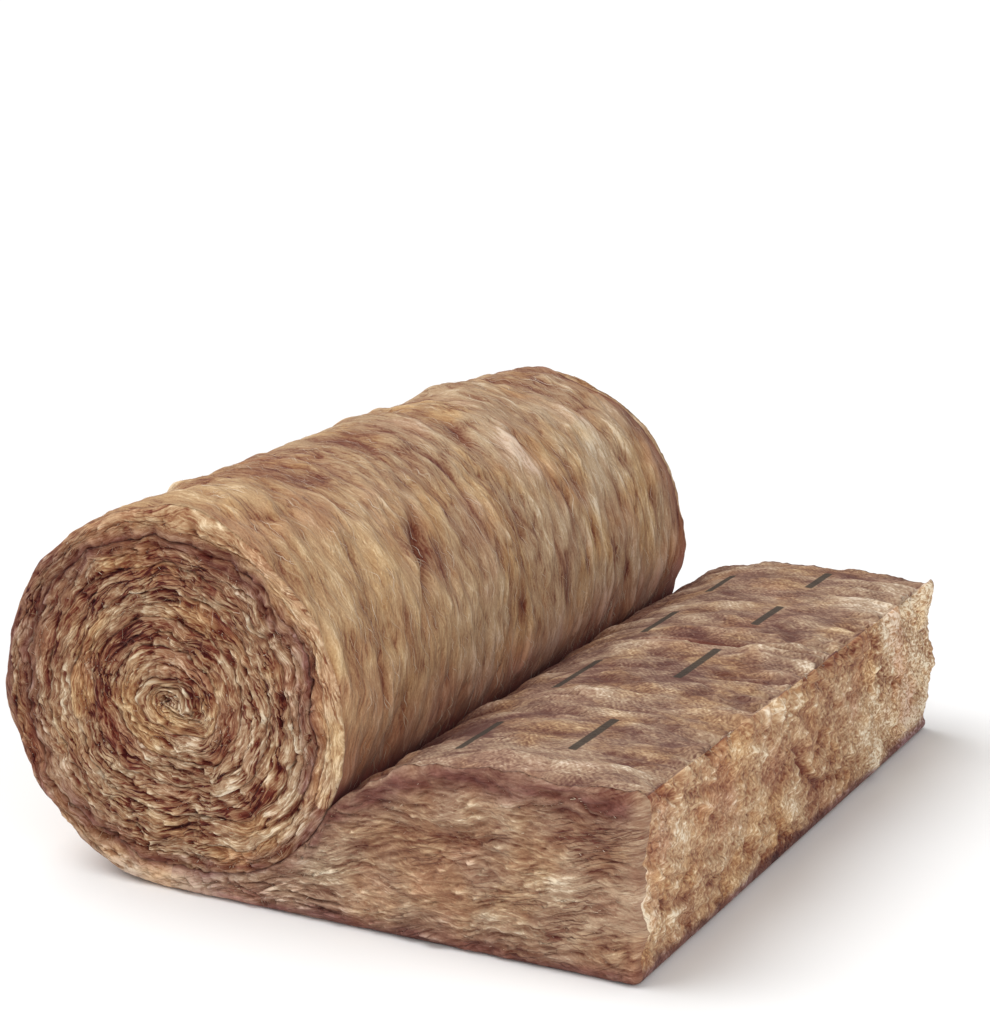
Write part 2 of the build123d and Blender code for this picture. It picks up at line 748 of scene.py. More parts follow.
@dataclass(frozen=True)
class Patches:
    """Soft patches of a finish: lumps a metre, finer layers, and the levels between which they rise."""

    scale: float
    detail: float
    rough: float
    low: float
    high: float
    shift: Triple = (0.0, 0.0, 0.0)

    def read(self, graph: Graph, place: Socket) -> Socket:
        """Adds the patches to a material, as a number from 0 to 1."""
        place = graph.vector("ADD", place, self.shift) if any(self.shift) else place
        return graph.spread(graph.noise(place, self.scale, self.detail, self.rough), self.low, self.high)


@dataclass(frozen=True)
class WoolFinish:
    """How the wool looks on one kind of surface.

    Each size is how many lumps, fibres or strands there are in a metre: along the mat, across it and
    through it. Each share is how strongly that layer lightens or darkens the wool. The lean is how far the
    fibres turn from one tuft to the next, in radians.
    """

    name: str
    fibres: Triple
    clumps: Triple
    strands: Triple
    relief_share: float
    fibre_share: float
    clump_share: float
    grain_share: float
    dark_share: float
    pale_share: float
    lift: float
    curl: float
    lean: float
    bump: float
    grain: Triple = (280.0, 430.0, 430.0)
    strand_width: float = 0.055
    sharp_strand: float = 0.1
    strand_shift: Triple = (5.3, 2.9, 1.1)
    lean_back: float = -0.6
    swirl_scale: float = 38.0
    middle: tuple[float, float] = (0.28, 0.72)
    stops: tuple[float, ...] = (0.0, 0.22, 0.5, 0.74, 1.0)
    turning: Patches = Patches(34.0, 1.0, 0.5, 0.45, 0.55)
    strand_patches: Patches = Patches(19.0, 2.0, 0.5, 0.42, 0.62)
    warm_patches: Patches = Patches(8.0, 3.0, 0.6, 0.45, 0.66)
    cool_patches: Patches = Patches(7.0, 3.0, 0.6, 0.48, 0.68, (3.1, 1.7, 0.4))
    belt_patches: Patches = Patches(13.0, 2.0, 0.5, 0.35, 0.6)
    belt: Triple = (860.0, 640.0, 1.0)
    pale_where_dark: float = -0.7
    warm_share: float = 0.75
    cool_share: float = 0.8
    ink_rough: float = 0.30
    ink_edge: float = 0.10
    ink_share: float = 0.92
    grain_bump: float = 0.45
    strand_bump: float = -0.5
    bump_depth: float = 0.004
    roughness: float = 0.92
    sheen: float = 0.06
    weave: float = 0.0
    inked: bool = False
    palette: Palette = Palette()

    def curled(self, graph: Graph, place: Socket) -> Socket:
        """Pushes the place about, so that the fibres curl."""
        swirl = graph.noise(place, self.swirl_scale, 3.0, 0.6, colour=True)
        swirl = graph.vector("SUBTRACT", swirl, (0.5, 0.5, 0.5))
        swirl = graph.vector("MULTIPLY", swirl, (self.curl, self.curl, self.curl))
        return graph.vector("ADD", place, swirl)

    def leaning(self, graph: Graph, place: Socket, angle: float) -> Socket:
        """Turns the place in the plane of the surface."""
        inputs = {"Vector": place, "Angle": angle}
        return graph.node("ShaderNodeVectorRotate", inputs, rotation_type="Z_AXIS").outputs[0]

    def stretched(self, graph: Graph, place: Socket, size: Triple, detail: float, rough: float) -> Socket:
        """Noise with its own number of lumps a metre each way."""
        return graph.noise(graph.vector("MULTIPLY", place, size), 1.0, detail, rough)

    def strand(self, graph: Graph, place: Socket) -> Socket:
        """Thin lines along the fibres, 1 on a line and 0 off it."""
        value = self.stretched(graph, place, self.strands, 1.5, 0.5)
        off = graph.math("ABSOLUTE", graph.math("SUBTRACT", value, 0.5))
        return graph.spread(off, self.strand_width, self.sharp_strand * self.strand_width)

    def lines(self, graph: Graph, place: Socket, one: Socket, other: Socket) -> tuple[Socket, Socket]:
        """The dark and the pale strands, which fade where the wool is soft.

        Args:
            graph: the material's graph.
            place: where the patches of strands are read.
            one: the place as the dark strands lean.
            other: the place as the pale strands lean.

        Returns:
            The dark strands and the pale ones, each from 0 to 1.
        """
        shown = self.strand_patches.read(graph, place)
        plain = graph.math("SUBTRACT", 1.0, graph.cue("soft"))
        shown = graph.math("MULTIPLY", shown, plain)
        dark = graph.math("MULTIPLY", self.strand(graph, one), shown)
        spared = graph.math("MULTIPLY_ADD", shown, self.pale_where_dark, plain)
        pale = self.strand(graph, graph.vector("ADD", other, self.strand_shift))
        return dark, graph.math("MULTIPLY", pale, spared)

    def woven(self, graph: Graph, place: Socket) -> Socket:
        """The dotted print of the belt that carried the wool, which comes and goes.

        Args:
            graph: the material's graph.
            place: where it is read.

        Returns:
            A number from about -1 to 1.
        """
        scaled = graph.vector("MULTIPLY", place, self.belt)
        parts = graph.node("ShaderNodeSeparateXYZ", {"Vector": scaled}).outputs
        dots = graph.math("MULTIPLY", graph.math("SINE", parts[0]), graph.math("SINE", parts[1]))
        return graph.math("MULTIPLY", dots, self.belt_patches.read(graph, place))

    def level(self, graph: Graph, curled: Socket, fibre: Socket, grain: Socket) -> Socket:
        """How light the wool is before its strands are drawn.

        Args:
            graph: the material's graph.
            curled: the place with curl.
            fibre: the noise of the fibres.
            grain: the grain, about 0.

        Returns:
            The lightness, from about 0 to 1.
        """
        clump = self.stretched(graph, curled, self.clumps, 4.0, 0.55)
        level = graph.math("MULTIPLY", graph.cue("relief"), self.relief_share)
        level = graph.math("MULTIPLY_ADD", graph.spread(fibre, *self.middle), self.fibre_share, level)
        level = graph.math("MULTIPLY_ADD", graph.spread(clump, *self.middle), self.clump_share, level)
        rough = graph.math("MULTIPLY_ADD", graph.cue("coarse"), self.grain_share, self.grain_share)
        level = graph.math("MULTIPLY_ADD", grain, rough, level)
        if self.weave:
            level = graph.math("MULTIPLY_ADD", self.woven(graph, curled), self.weave, level)
        return level

    def colour(self, graph: Graph, place: Socket, level: Socket, grain: Socket) -> Socket:
        """Colours the wool by its lightness, with warm and cool patches, the skin tint, the painted shade of
        the nip, seams and creases, and the ink. On the roll and the tail the skin tint also carries painted
        shade by the nip and in dents.

        Args:
            graph: the material's graph.
            place: where the patches are read.
            level: how light the wool is.
            grain: the grain, about 0, which roughens the ink's edge.

        Returns:
            The base colour.
        """
        shades = self.palette
        run = (shades.pit, shades.shade, shades.body, shades.tuft, shades.pale)
        colour = graph.ramp(level, list(zip(self.stops, run)))
        warm = graph.math("MAXIMUM", self.warm_patches.read(graph, place), graph.cue("warm"))
        colour = graph.blend(graph.math("MULTIPLY", warm, self.warm_share), colour, shades.gold, "MULTIPLY")
        cool = graph.math("MULTIPLY", self.cool_patches.read(graph, place), self.cool_share)
        colour = graph.blend(cool, colour, shades.mauve, "MULTIPLY")
        # the skin's own tint, which on the roll and the tail also lays painted shade by the nip and in dents
        colour = graph.blend(graph.cue("skin"), colour, shades.skin, "MULTIPLY")
        # painted shade in the nip, the seams between turns and the crease dents
        colour = graph.blend(graph.cue("pit"), colour, shades.deep)
        if not self.inked:
            return colour
        edge = graph.math("MULTIPLY_ADD", grain, self.ink_rough, graph.cue("ink"))
        inked = graph.math("MULTIPLY", graph.spread(edge, -self.ink_edge, self.ink_edge), self.ink_share)
        return graph.blend(inked, colour, shades.ink)

    def material(self) -> Material:
        """Builds the node material.

        Returns:
            A material that reads the sheets' flow and cues: relief, coarse, pit, skin, warm, soft and ink.
        """
        graph = Graph(self.name)
        place = graph.place()
        curled = self.curled(graph, place)
        one = self.leaning(graph, curled, self.lean)
        other = self.leaning(graph, curled, self.lean_back * self.lean)
        ways = (self.stretched(graph, way, self.fibres, 4.0, 0.62) for way in (one, other))
        fibre = graph.mix(self.turning.read(graph, place), *ways)
        speckle = self.stretched(graph, curled, self.grain, 2.0, 0.6)
        grain = graph.math("SUBTRACT", speckle, 0.5)
        dark, pale = self.lines(graph, place, one, other)
        level = self.level(graph, curled, fibre, grain)
        level = graph.math("MULTIPLY_ADD", dark, -self.dark_share, level)
        level = graph.math("MULTIPLY_ADD", pale, self.pale_share, level)
        level = graph.math("ADD", level, self.lift, clamp=True)
        colour = self.colour(graph, place, level, grain)
        height = graph.math("MULTIPLY_ADD", speckle, self.grain_bump, fibre)
        height = graph.math("MULTIPLY_ADD", dark, self.strand_bump, height)
        inputs = {"Height": height, "Strength": self.bump, "Distance": self.bump_depth}
        normal = graph.node("ShaderNodeBump", inputs).outputs[0]
        return graph.finish(colour, normal, self.roughness, self.sheen)


@dataclass(frozen=True)
class FibreFinish:
    """The loose fibres, each paler or darker than the wool under it."""

    name: str = "loose_fibres"
    dark: Colour = (0.200, 0.090, 0.050)
    middle: Colour = (0.450, 0.290, 0.170)
    light: Colour = (0.760, 0.640, 0.500)
    roughness: float = 0.7
    sheen: float = 0.3

    def material(self) -> Material:
        """Builds a material that reads each fibre's shade."""
        graph = Graph(self.name)
        colour = graph.ramp(graph.cue("shade"), [(0.0, self.dark), (0.5, self.middle), (1.0, self.light)])
        return graph.finish(colour, None, self.roughness, self.sheen)


class Surface(Enum):
    """The kinds of surface, each with its finish."""

    ROLL = WoolFinish(
        "roll_skin_wool", fibres=(34.0, 240.0, 60.0), clumps=(11.0, 40.0, 9.0), strands=(10.0, 95.0, 9.0),
        relief_share=0.84, fibre_share=0.22, clump_share=0.20, grain_share=0.44, dark_share=0.17,
        pale_share=0.13, lift=-0.10, curl=0.009, lean=0.22, bump=0.55, palette=ROLL_PALETTE,
    )
    TAIL = WoolFinish(
        "tail_skin_wool", fibres=(110.0, 200.0, 60.0), clumps=(16.0, 30.0, 9.0), strands=(26.0, 90.0, 9.0),
        relief_share=0.98, fibre_share=0.20, clump_share=0.26, grain_share=0.80, dark_share=0.14,
        pale_share=0.16, lift=-0.395, curl=0.012, lean=0.55, bump=0.60, grain=(160.0, 220.0, 220.0),
        weave=0.11, inked=True, palette=TAIL_PALETTE,
    )
    CUT = WoolFinish(
        "cut_end_wool", fibres=(90.0, 230.0, 60.0), clumps=(18.0, 40.0, 9.0), strands=(40.0, 90.0, 9.0),
        relief_share=0.84, fibre_share=0.24, clump_share=0.22, grain_share=0.66, dark_share=0.18,
        pale_share=0.18, lift=-0.13, curl=0.010, lean=0.80, bump=0.75, grain=(170.0, 210.0, 210.0),
        palette=CUT_PALETTE,
    )
    SIDE = WoolFinish(
        "side_wool", fibres=(40.0, 320.0, 60.0), clumps=(20.0, 70.0, 9.0), strands=(15.0, 130.0, 9.0),
        relief_share=0.84, fibre_share=0.26, clump_share=0.14, grain_share=0.30, dark_share=0.24,
        pale_share=0.15, lift=-0.12, curl=0.009, lean=0.26, bump=0.80, palette=SIDE_PALETTE,
    )
    END = WoolFinish(
        "edge_wool", fibres=(42.0, 340.0, 60.0), clumps=(24.0, 80.0, 9.0), strands=(14.0, 130.0, 9.0),
        relief_share=0.90, fibre_share=0.30, clump_share=0.12, grain_share=0.30, dark_share=0.50,
        pale_share=0.24, lift=-0.14, curl=0.009, lean=0.26, bump=0.75, palette=EDGE_PALETTE,
    )
    FIBRE = FibreFinish()


# Painted shade in dented hollows and painted highlight on raised bulges, per metre of push
DENT_SHADE = 26.0
LUMP_SHADE = 18.0


@dataclass(frozen=True)
class Dent:
    """A local push on a skin, an oval bell.

    The place is along the mat, by length on the roll and by x on the tail, and across it, in metres. The
    lean is how far the bell's long axis moves across the mat for each metre along it.
    """

    along: float
    across: float
    length: float
    width: float
    height: float
    lean: float = 0.0

    def push(self, along: Array, across: Array) -> Array:
        """How far it moves the skin out at each point."""
        aside = across - self.across - self.lean * (along - self.along)
        return self.height * np.exp(-(((along - self.along) / self.length) ** 2) - (aside / self.width) ** 2)


def pushed(dents: tuple[Dent, ...], along: Array, across: Array) -> tuple[Array, Array]:
    """How far the dents move the skin out at each point, and the painted shade in their hollows and painted
    highlight on their bulges.
    """
    total = sum(dent.push(along, across) for dent in dents)
    return total, DENT_SHADE * np.minimum(total, 0.0) + LUMP_SHADE * np.maximum(total, 0.0)


@dataclass
class RollSkin:
    """The wound skin of the roll, from the floor over the top to the nip.

    Fades and bands are distances along the mat, from the nip or from the floor, or places along the axis.
    """

    section: Section
    spacing: float = 0.0042
    slant: float = 0.19
    relief_kind: Relief = Relief((
        Layer(Form.SWELL, 0.20, 0.14, 0.0120, 0.10, 0.2, 3),
        Layer(Form.PUFF, 0.15, 0.050, 0.0080, 0.28, 0.7, 2),
        Layer(Form.SWELL, 0.13, 0.085, 0.0010, 0.26, 0.6, 3),
        Layer(Form.TUFT, 0.11, 0.045, 0.0040, 0.22, 0.9, 3, 0.2),
        Layer(Form.PUFF, 0.09, 0.018, 0.0022, 0.20, 0.6, 2, 0.15),
        Layer(Form.CRACK, 0.11, 0.028, 0.0024, 0.26, 0.5),
        Layer(Form.PIT, 0.12, 0.045, 0.0045, 0.28, 0.8, 3),
        Layer(Form.TUFT, 0.10, 0.014, 0.0022, 0.40, 0.3, 2, -0.1),
    ))
    dents: tuple[Dent, ...] = (
        Dent(1.100, -0.265, 0.075, 0.019, -0.0150, -0.88),
        Dent(1.120, -0.370, 0.120, 0.070, 0.0060),
        Dent(1.160, -0.170, 0.120, 0.050, 0.0040),
        Dent(0.955, -0.480, 0.050, 0.016, 0.0070, -0.5),
        Dent(1.060, -0.555, 0.060, 0.014, 0.0070, -0.4),
        Dent(0.845, -0.343, 0.100, 0.060, -0.0080),
        Dent(0.800, -0.520, 0.120, 0.060, 0.0060),
        Dent(0.950, 0.095, 0.045, 0.016, -0.0080, -0.6),
        Dent(0.900, 0.200, 0.140, 0.080, 0.0060),
        Dent(0.900, 0.600, 0.450, 0.080, -0.0090),
    )
    streaks: Streaks = Streaks(0.16, 0.030, 71.0, 3)
    plain_light: float = 0.56
    lighter: float = 0.06
    even_near: Fade = Fade(-0.25, -0.55, 0.32)
    # painted light just above the nip, where real shade falls
    painted_light_by_nip: Band = Band(0.060, 0.060, 0.26)
    painted_light_by_nip_stray: float = 0.03
    # painted shade on the roll's upper skin
    painted_shade_on_top: Band = Band(0.80, 0.17, -0.13)
    dark_streaks: Band = Band(0.15, 0.12, -0.24)
    paler_far: Fade = Fade(0.0, 0.40, 0.13)
    paler_far_reach: Band = Band(0.28, 0.16)
    calm_nip: Fade = Fade(0.0, 0.05)
    calm_floor: Fade = Fade(0.02, 0.16)
    # painted shade in the nip, and a weaker painted shade that spreads up from it
    nip_painted_shade: Fade = Fade(0.045, 0.006, 0.70)
    nip_painted_shade_wide: Fade = Fade(0.14, 0.02, 0.30)
    skin_under: Fade = Fade(0.42, 0.10, 0.6)
    skin_far: Fade = Fade(0.52, 0.60, 0.5)
    # painted shade in the dents, laid on as the skin tint
    dent_shade_tint: float = -55.0
    dent_shade_tint_most: float = 0.7
    # painted shade by the nip, laid on as the skin tint
    nip_shade_tint: Fade = Fade(0.17, 0.02, 0.80)
    nip_shade_tint_stray: float = 0.05
    skin_streaks: Band = Band(0.15, 0.13, 0.55)
    warm_near: Fade = Fade(0.0, -0.45, 0.7)
    warm_stray: float = 0.12

    def __post_init__(self) -> None:
        """Works out the stations of the outermost turn."""
        self.line = self.section.lap(0, self.spacing)[0]
        self.run = np.concatenate([[0.0], np.cumsum(np.linalg.norm(np.diff(self.line, axis=0), axis=1))])
        self.folds = Noise(11)

    def stations(self, across: Array) -> tuple[Array, Array, Array, Array]:
        """Each point's run along the mat, its place across, its distance from the nip, and the streaks."""
        run, side = np.broadcast_arrays(self.run[None, :], np.asarray(across)[:, None])
        return run, side, self.run[-1] - run, self.streaks.read(self.folds, run, side)

    def relief(self, across: Array) -> tuple[Array, Array]:
        """The skin's folds at every station.

        Args:
            across: places along the roll's axis, one for each row.

        Returns:
            How far the skin stands out, and how light it is, from 0 to 1, each with rows across.
        """
        run, side, from_nip, streak = self.stations(across)
        height, light = self.relief_kind.read(self.folds, run, side + self.slant * run)
        dented, shade = pushed(self.dents, run, side)
        height, light = height + dented, light + shade
        light = self.plain_light + (light - self.plain_light) * (1.0 - self.even_near.at(side)) + self.lighter
        # painted light just above the nip, and painted shade on the roll's upper skin
        light = light + self.painted_light_by_nip.at(from_nip + self.painted_light_by_nip_stray * streak) + self.painted_shade_on_top.at(run)
        light = light + np.clip(streak, 0.0, 1.0) * self.dark_streaks.at(from_nip)
        light = light + self.paler_far.at(side) * self.paler_far_reach.at(from_nip)
        return height * self.calm_nip.at(from_nip) * self.calm_floor.at(run), light

    def lifted(self, across: Array) -> tuple[Array, Array]:
        """The displaced points and their lightness.

        Args:
            across: places along the roll's axis, one for each row.

        Returns:
            Points in space and lightness, each with rows across and columns along the mat.
        """
        height, light = self.relief(across)
        out = self.line - np.array([self.section.axis_x, self.section.axis_z])
        out /= np.linalg.norm(out, axis=1, keepdims=True)
        spot = self.line[None] + out[None] * height[..., None]
        side = np.broadcast_to(np.asarray(across)[:, None], height.shape)
        return stacked(spot[..., 0], side, np.maximum(spot[..., 1], 0.0)), light

    def sheet(self) -> Sheet:
        """The whole skin as one sheet."""
        reach = self.section.half_width - self.section.edge
        across = np.linspace(-reach, reach, int(2.0 * reach / self.spacing) + 1)
        points, light = self.lifted(across)
        run, side, from_nip, streak = self.stations(across)
        # the skin tint: painted shade in the dents and by the nip, and the skin's own colour in streaks,
        # underneath and at the far end
        skin = np.clip(self.dent_shade_tint * pushed(self.dents, run, side)[0], 0.0, self.dent_shade_tint_most)
        skin = skin + self.nip_shade_tint.at(from_nip + self.nip_shade_tint_stray * streak)
        skin = skin + np.clip(streak, 0.0, 1.0) * self.skin_streaks.at(from_nip)
        skin = skin + self.skin_under.at(run) + self.skin_far.at(side)
        cues = {
            "relief": light,
            # painted shade in the nip
            "pit": unit(self.nip_painted_shade.at(from_nip) + self.nip_painted_shade_wide.at(from_nip)),
            # the skin's own tint, with painted shade in the dents and by the nip
            "skin": unit(skin),
            "warm": self.warm_near.at(side + self.warm_stray * streak),
        }
        return Sheet("roll_skin", points, stacked(run, side + self.slant * run, 0.0), cues)


@dataclass
class TailGrid:
    """The grid on the tail's sides, and the skin that runs round it from the cut end's foot to the nip.

    Fades and bands are places across the mat or above the floor, or distances from the cut end, from the
    mat's long edges, from its top or from the nip.
    """

    section: Section
    spacing: float = 0.0023
    row_step: float = 0.0022
    across_step: float = 0.0041
    slant: float = 0.10
    strokes: tuple[Triple, ...] = (
        (0.1845, -0.516, -0.385),
        (0.1845, -0.212, -0.058),
        (0.1845, 0.106, 0.235),
        (0.1845, 0.366, 0.478),
        (0.3315, -0.474, -0.329),
        (0.3315, -0.115, 0.044),
        (0.3315, 0.192, 0.307),
        (0.3315, 0.430, 0.532),
    )
    stroke_width: float = 0.0130
    top_kind: Relief = Relief((
        Layer(Form.SWELL, 0.22, 0.15, 0.0050, 0.06, 0.2, 2),
        Layer(Form.PUFF, 0.17, 0.075, 0.0125, 0.36, 1.0, 2),
        Layer(Form.PUFF, 0.07, 0.030, 0.0044, 0.24, 1.0, 3, 0.15),
        Layer(Form.CRACK, 0.20, 0.080, 0.0060, 0.36, 0.7),
        Layer(Form.SWELL, 0.110, 0.055, 0.0008, 0.34, 0.8, 4),
        Layer(Form.PIT, 0.13, 0.040, 0.0045, 0.20, 0.8, 3),
    ))
    top_dents: tuple[Dent, ...] = (
        Dent(0.345, 0.078, 0.165, 0.008, -0.0195, 0.14),
        Dent(0.345, 0.046, 0.165, 0.022, 0.0090, 0.14),
        Dent(0.330, -0.550, 0.130, 0.030, 0.0070),
        Dent(0.270, -0.470, 0.060, 0.018, 0.0050, 0.2),
    )
    cut_kind: Relief = Relief((
        Layer(Form.SWELL, 0.12, 0.10, 0.0060, 0.14, 0.3, 2),
        Layer(Form.PUFF, 0.080, 0.036, 0.0130, 0.44, 1.0, 3, 0.25),
        Layer(Form.PUFF, 0.013, 0.017, 0.0026, 0.30, 0.8, 2),
        Layer(Form.SWELL, 0.160, 0.080, 0.0010, 0.34, 0.9, 4, 0.3),
        Layer(Form.PIT, 0.100, 0.045, 0.0090, 0.46, 1.0, 3, 0.3),
        Layer(Form.TUFT, 0.040, 0.024, 0.0050, 0.44, 0.9, 3),
    ))
    cut_slice: float = 40.0
    tears: Streaks = Streaks(0.030, 0.05, 47.0, 3)
    tear_share: float = 0.35
    turned: Fade = Fade(0.35, 0.75)
    rim: Band = Band(0.0, 0.030)
    lip: Band = Band(0.0, 0.040)
    lip_ends: Band = Band(0.0, 0.05, 0.6)
    calm_nip: Fade = Fade(0.0, 0.05)
    calm_floor: Fade = Fade(0.0, 0.03)
    ink_reach: float = 5.0
    ink_calm: Fade = Fade(-5.0, -0.5, 0.94)
    top_back: Fade = Fade(0.15, 0.55, 0.06)
    top_middle: Band = Band(-0.05, 0.20, -0.05)
    sinks: Streaks = Streaks(0.070, 1.0, 37.0, 4, 0.65)
    sink: float = 0.008
    sink_swing: float = 0.030
    top_lip: Band = Band(0.0, 0.055, 0.17)
    # painted light on the top near the nip, where real shade falls
    top_painted_light_by_nip: Fade = Fade(0.10, 0.03, 0.08)
    frays: Streaks = Streaks(0.080, 1.0, 53.0, 4, 0.65)
    hem: Band = Band(0.0, 0.035)
    hem_drop: float = 0.003
    hem_swing: float = 0.009
    hem_light: float = 0.14
    end_light: float = 0.05
    end_light_most: float = 0.86
    end_back: Fade = Fade(0.24, 0.56, 0.38)
    scallops: Streaks = Streaks(0.085, 1.0, 31.0, 4, 0.65)
    scallop: float = 0.034
    lip_shade: float = 0.03
    corner_folds: Streaks = Streaks(0.085, 1.0, 61.0, 3, 0.55)
    corner_fold: float = 0.019
    corner: Band = Band(0.0, 0.030)
    corner_calm: float = 0.55
    near_corner: Fade = Fade(-0.56, -0.60, 0.36)
    corner_foot: Fade = Fade(0.04, 0.09)
    corner_top: Fade = Fade(0.21, 0.17)
    back_corner: Band = Band(0.0, 0.060, 0.85)
    # painted shade in the nip, and a weaker painted shade that spreads from it
    nip_painted_shade: Fade = Fade(0.030, 0.004, 0.85)
    nip_painted_shade_wide: Fade = Fade(0.10, 0.01, 0.30)
    # painted shade in the crease dents of the top
    dent_crease_shade: float = -50.0
    dent_crease_shade_most: float = 0.6
    patches: Streaks = Streaks(0.09, 0.04, 57.0, 3)
    skin_hem: Band = Band(0.0, 0.020, 0.7)
    skin_patches: Fade = Fade(-0.1, 0.6)
    # painted shade by the nip, laid on as the skin tint
    nip_shade_tint: Fade = Fade(0.17, 0.02, 0.7)
    nip_shade_tint_stray: float = 0.03
    skin_foot: Fade = Fade(0.030, 0.012)
    skin_foot_stray: float = 0.006
    coarse: float = 0.3
    coarse_back: Fade = Fade(0.10, 0.55, 1.6)

    def __post_init__(self) -> None:
        """Lays out the grid and the line that runs round it."""
        self.folds = Noise(23)
        self.lay_out()
        self.trace()

    def columns(self) -> Array:
        """Places along the mat: close ones round the cut end's edge, then even ones to below the axis."""
        section, edge = self.section, self.section.edge
        nip_x = section.nip[0]
        curl = section.cut_x - edge * (1.0 - np.cos(np.linspace(0.0, 0.5 * math.pi, 5)))[:-1]
        free = np.linspace(section.cut_x - edge, nip_x, int((section.cut_x - edge - nip_x) / self.spacing))
        under = np.linspace(nip_x, section.axis_x, int((nip_x - section.axis_x) / self.spacing))[1:]
        self.nip_column = len(curl) + len(free) - 1
        return np.concatenate([curl, free, under])

    def lay_out(self) -> None:
        """Lays out columns along the mat and rows across its thickness, with its rounded edges."""
        section, edge = self.section, self.section.edge
        self.xs = self.columns()
        lengths, shares = section.rounded_rows(int((section.thickness - 2 * edge) / self.row_step))
        self.heights = heights = section.tail_height(self.xs)
        depth = lengths[:, None] + shares[:, None] * (heights[None] - 2.0 * edge)
        depth[shares >= 1.0] = heights[None] - (2.0 * edge - lengths[shares >= 1.0])[:, None]
        x = np.broadcast_to(self.xs[None], depth.shape)
        from_cut = 1.0 - (section.cut_x - x) / edge
        self.to_top = np.clip(1.0 - (heights[None] - depth) / edge, 0.0, 1.0)
        from_side = np.maximum(1.0 - depth / edge, self.to_top)
        top = depth > 0.5 * heights[None]
        a, b = np.clip(from_cut, 0.0, 1.0), np.clip(from_side, 0.0, 1.0)
        squared = np.where((a > 0) & (b > 0), np.maximum(a, b) / np.maximum(np.hypot(a, b), 1e-9), 1.0)
        self.nearness = np.maximum(a, b)
        self.x = np.where(a > 0, section.cut_x - edge * (1.0 - a * squared), x)
        low = edge * (1.0 - b * squared)
        self.z = np.where(b > 0, np.where(top, heights[None] - low, low), depth)

    def trace(self) -> None:
        """Traces the line up the cut end and along the top to the nip, with its length and its outside."""
        top = np.s_[-1, 1 : self.nip_column + 1]
        end_line = np.stack([self.x[:, 0], self.z[:, 0]], axis=-1)
        self.loop = np.concatenate([end_line, np.stack([self.x[top], self.z[top]], axis=-1)])
        steps = np.linalg.norm(np.diff(self.loop, axis=0), axis=1)
        self.loop_run = np.concatenate([[0.0], np.cumsum(steps)])
        tangent = np.gradient(self.loop, axis=0)
        tangent /= np.linalg.norm(tangent, axis=1, keepdims=True)
        self.loop_out = np.stack([tangent[:, 1], -tangent[:, 0]], axis=-1)

    def stations(self, across: Array) -> tuple[Array, Array, Array]:
        """Every point's place along the mat, across it and above the floor, with rows across."""
        x, side = np.broadcast_arrays(self.loop[None, :, 0], np.asarray(across)[:, None])
        return x, side, np.broadcast_to(self.loop[None, :, 1], x.shape)

    def top_relief(self, x: Array, side: Array, lip: Array) -> tuple[Array, Array]:
        """The folds of the tail's top.

        Args:
            x: places along the mat.
            side: places across it.
            lip: how near the lip above the cut end each point is, from 0 to 1.

        Returns:
            How far the skin stands out, and how light it is.
        """
        section = self.section
        height, light = self.top_kind.read(self.folds, x, side - self.slant * x)
        dented, shade = pushed(self.top_dents, x, side)
        height, light = height + dented, light + shade
        height = height * (1.0 - self.ink_calm.at(self.ink(x, side, self.ink_reach)))
        height = height - (self.sink - self.sink_swing * self.sinks.read(self.folds, side)) * lip
        light = light + self.top_back.at(side) + self.top_middle.at(side)
        # painted light near the nip
        light = light + self.top_lip.at(x - section.cut_x) + self.top_painted_light_by_nip.at(x - section.nip[0])
        frayed = self.frays.read(self.folds, x, part=np.sign(side))
        hem = self.hem.at(np.abs(side) - section.half_width)
        return height - (self.hem_drop - self.hem_swing * frayed) * hem, light + self.hem_light * frayed * hem

    def end_relief(self, side: Array, z: Array, lip: Array) -> tuple[Array, Array]:
        """The tufts of the cut end.

        Args:
            side: places across the mat.
            z: heights above the floor.
            lip: how near the lip above the cut end each point is, from 0 to 1.

        Returns:
            How far the wool stands out, and how light it is.
        """
        section = self.section
        height, light = self.cut_kind.read(self.folds, side, z, self.cut_slice)
        height = height + self.scallop * self.scallops.read(self.folds, side) * lip
        light = np.minimum(light + self.end_light + self.end_back.at(side), self.end_light_most)
        light = light - self.lip_shade * lip
        rim = self.rim.at(z - section.thickness)
        fold = self.corner_fold * self.corner_folds.read(self.folds, z, part=np.sign(side))
        corner = self.corner.at(np.abs(side) - section.half_width)
        height = height * (1.0 - self.corner_calm * corner) + fold * corner * (1.0 - rim)
        light = light + self.near_corner.at(side) * self.corner_foot.at(z) * self.corner_top.at(z)
        return height * (1.0 - rim * self.back_corner.at(side - section.half_width)), light

    def relief(self, across: Array) -> tuple[Array, Array, Array]:
        """The folds of the tail's top and the tufts of its cut end.

        Args:
            across: places along the roll's axis, one for each row.

        Returns:
            How far the skin stands out, how light it is, and how much of it is cut end, with rows across.
        """
        section = self.section
        x, side, z = self.stations(across)
        torn = self.tear_share * self.tears.read(self.folds, side, z)
        cut = self.turned.at(self.loop_out[None, :, 0] + torn)
        lip = self.rim.at(z - section.thickness) * self.lip.at(x - section.cut_x)
        lip = lip * (1.0 - self.lip_ends.at(np.abs(side) - section.half_width))
        top, top_light = self.top_relief(x, side, lip)
        end, end_light = self.end_relief(side, z, lip)
        height = cut * end + (1.0 - cut) * top
        light = cut * end_light + (1.0 - cut) * top_light
        return height * self.calm_nip.at(x - section.nip[0]) * self.calm_floor.at(z), light, cut

    def lifted(self, across: Array) -> tuple[Array, Array, Array]:
        """The displaced points, with their lightness and their share of cut end."""
        height, light, cut = self.relief(across)
        spot = self.loop[None] + self.loop_out[None] * height[..., None]
        side = np.broadcast_to(np.asarray(across)[:, None], height.shape)
        return stacked(spot[..., 0], side, np.maximum(spot[..., 1], 0.0)), light, cut

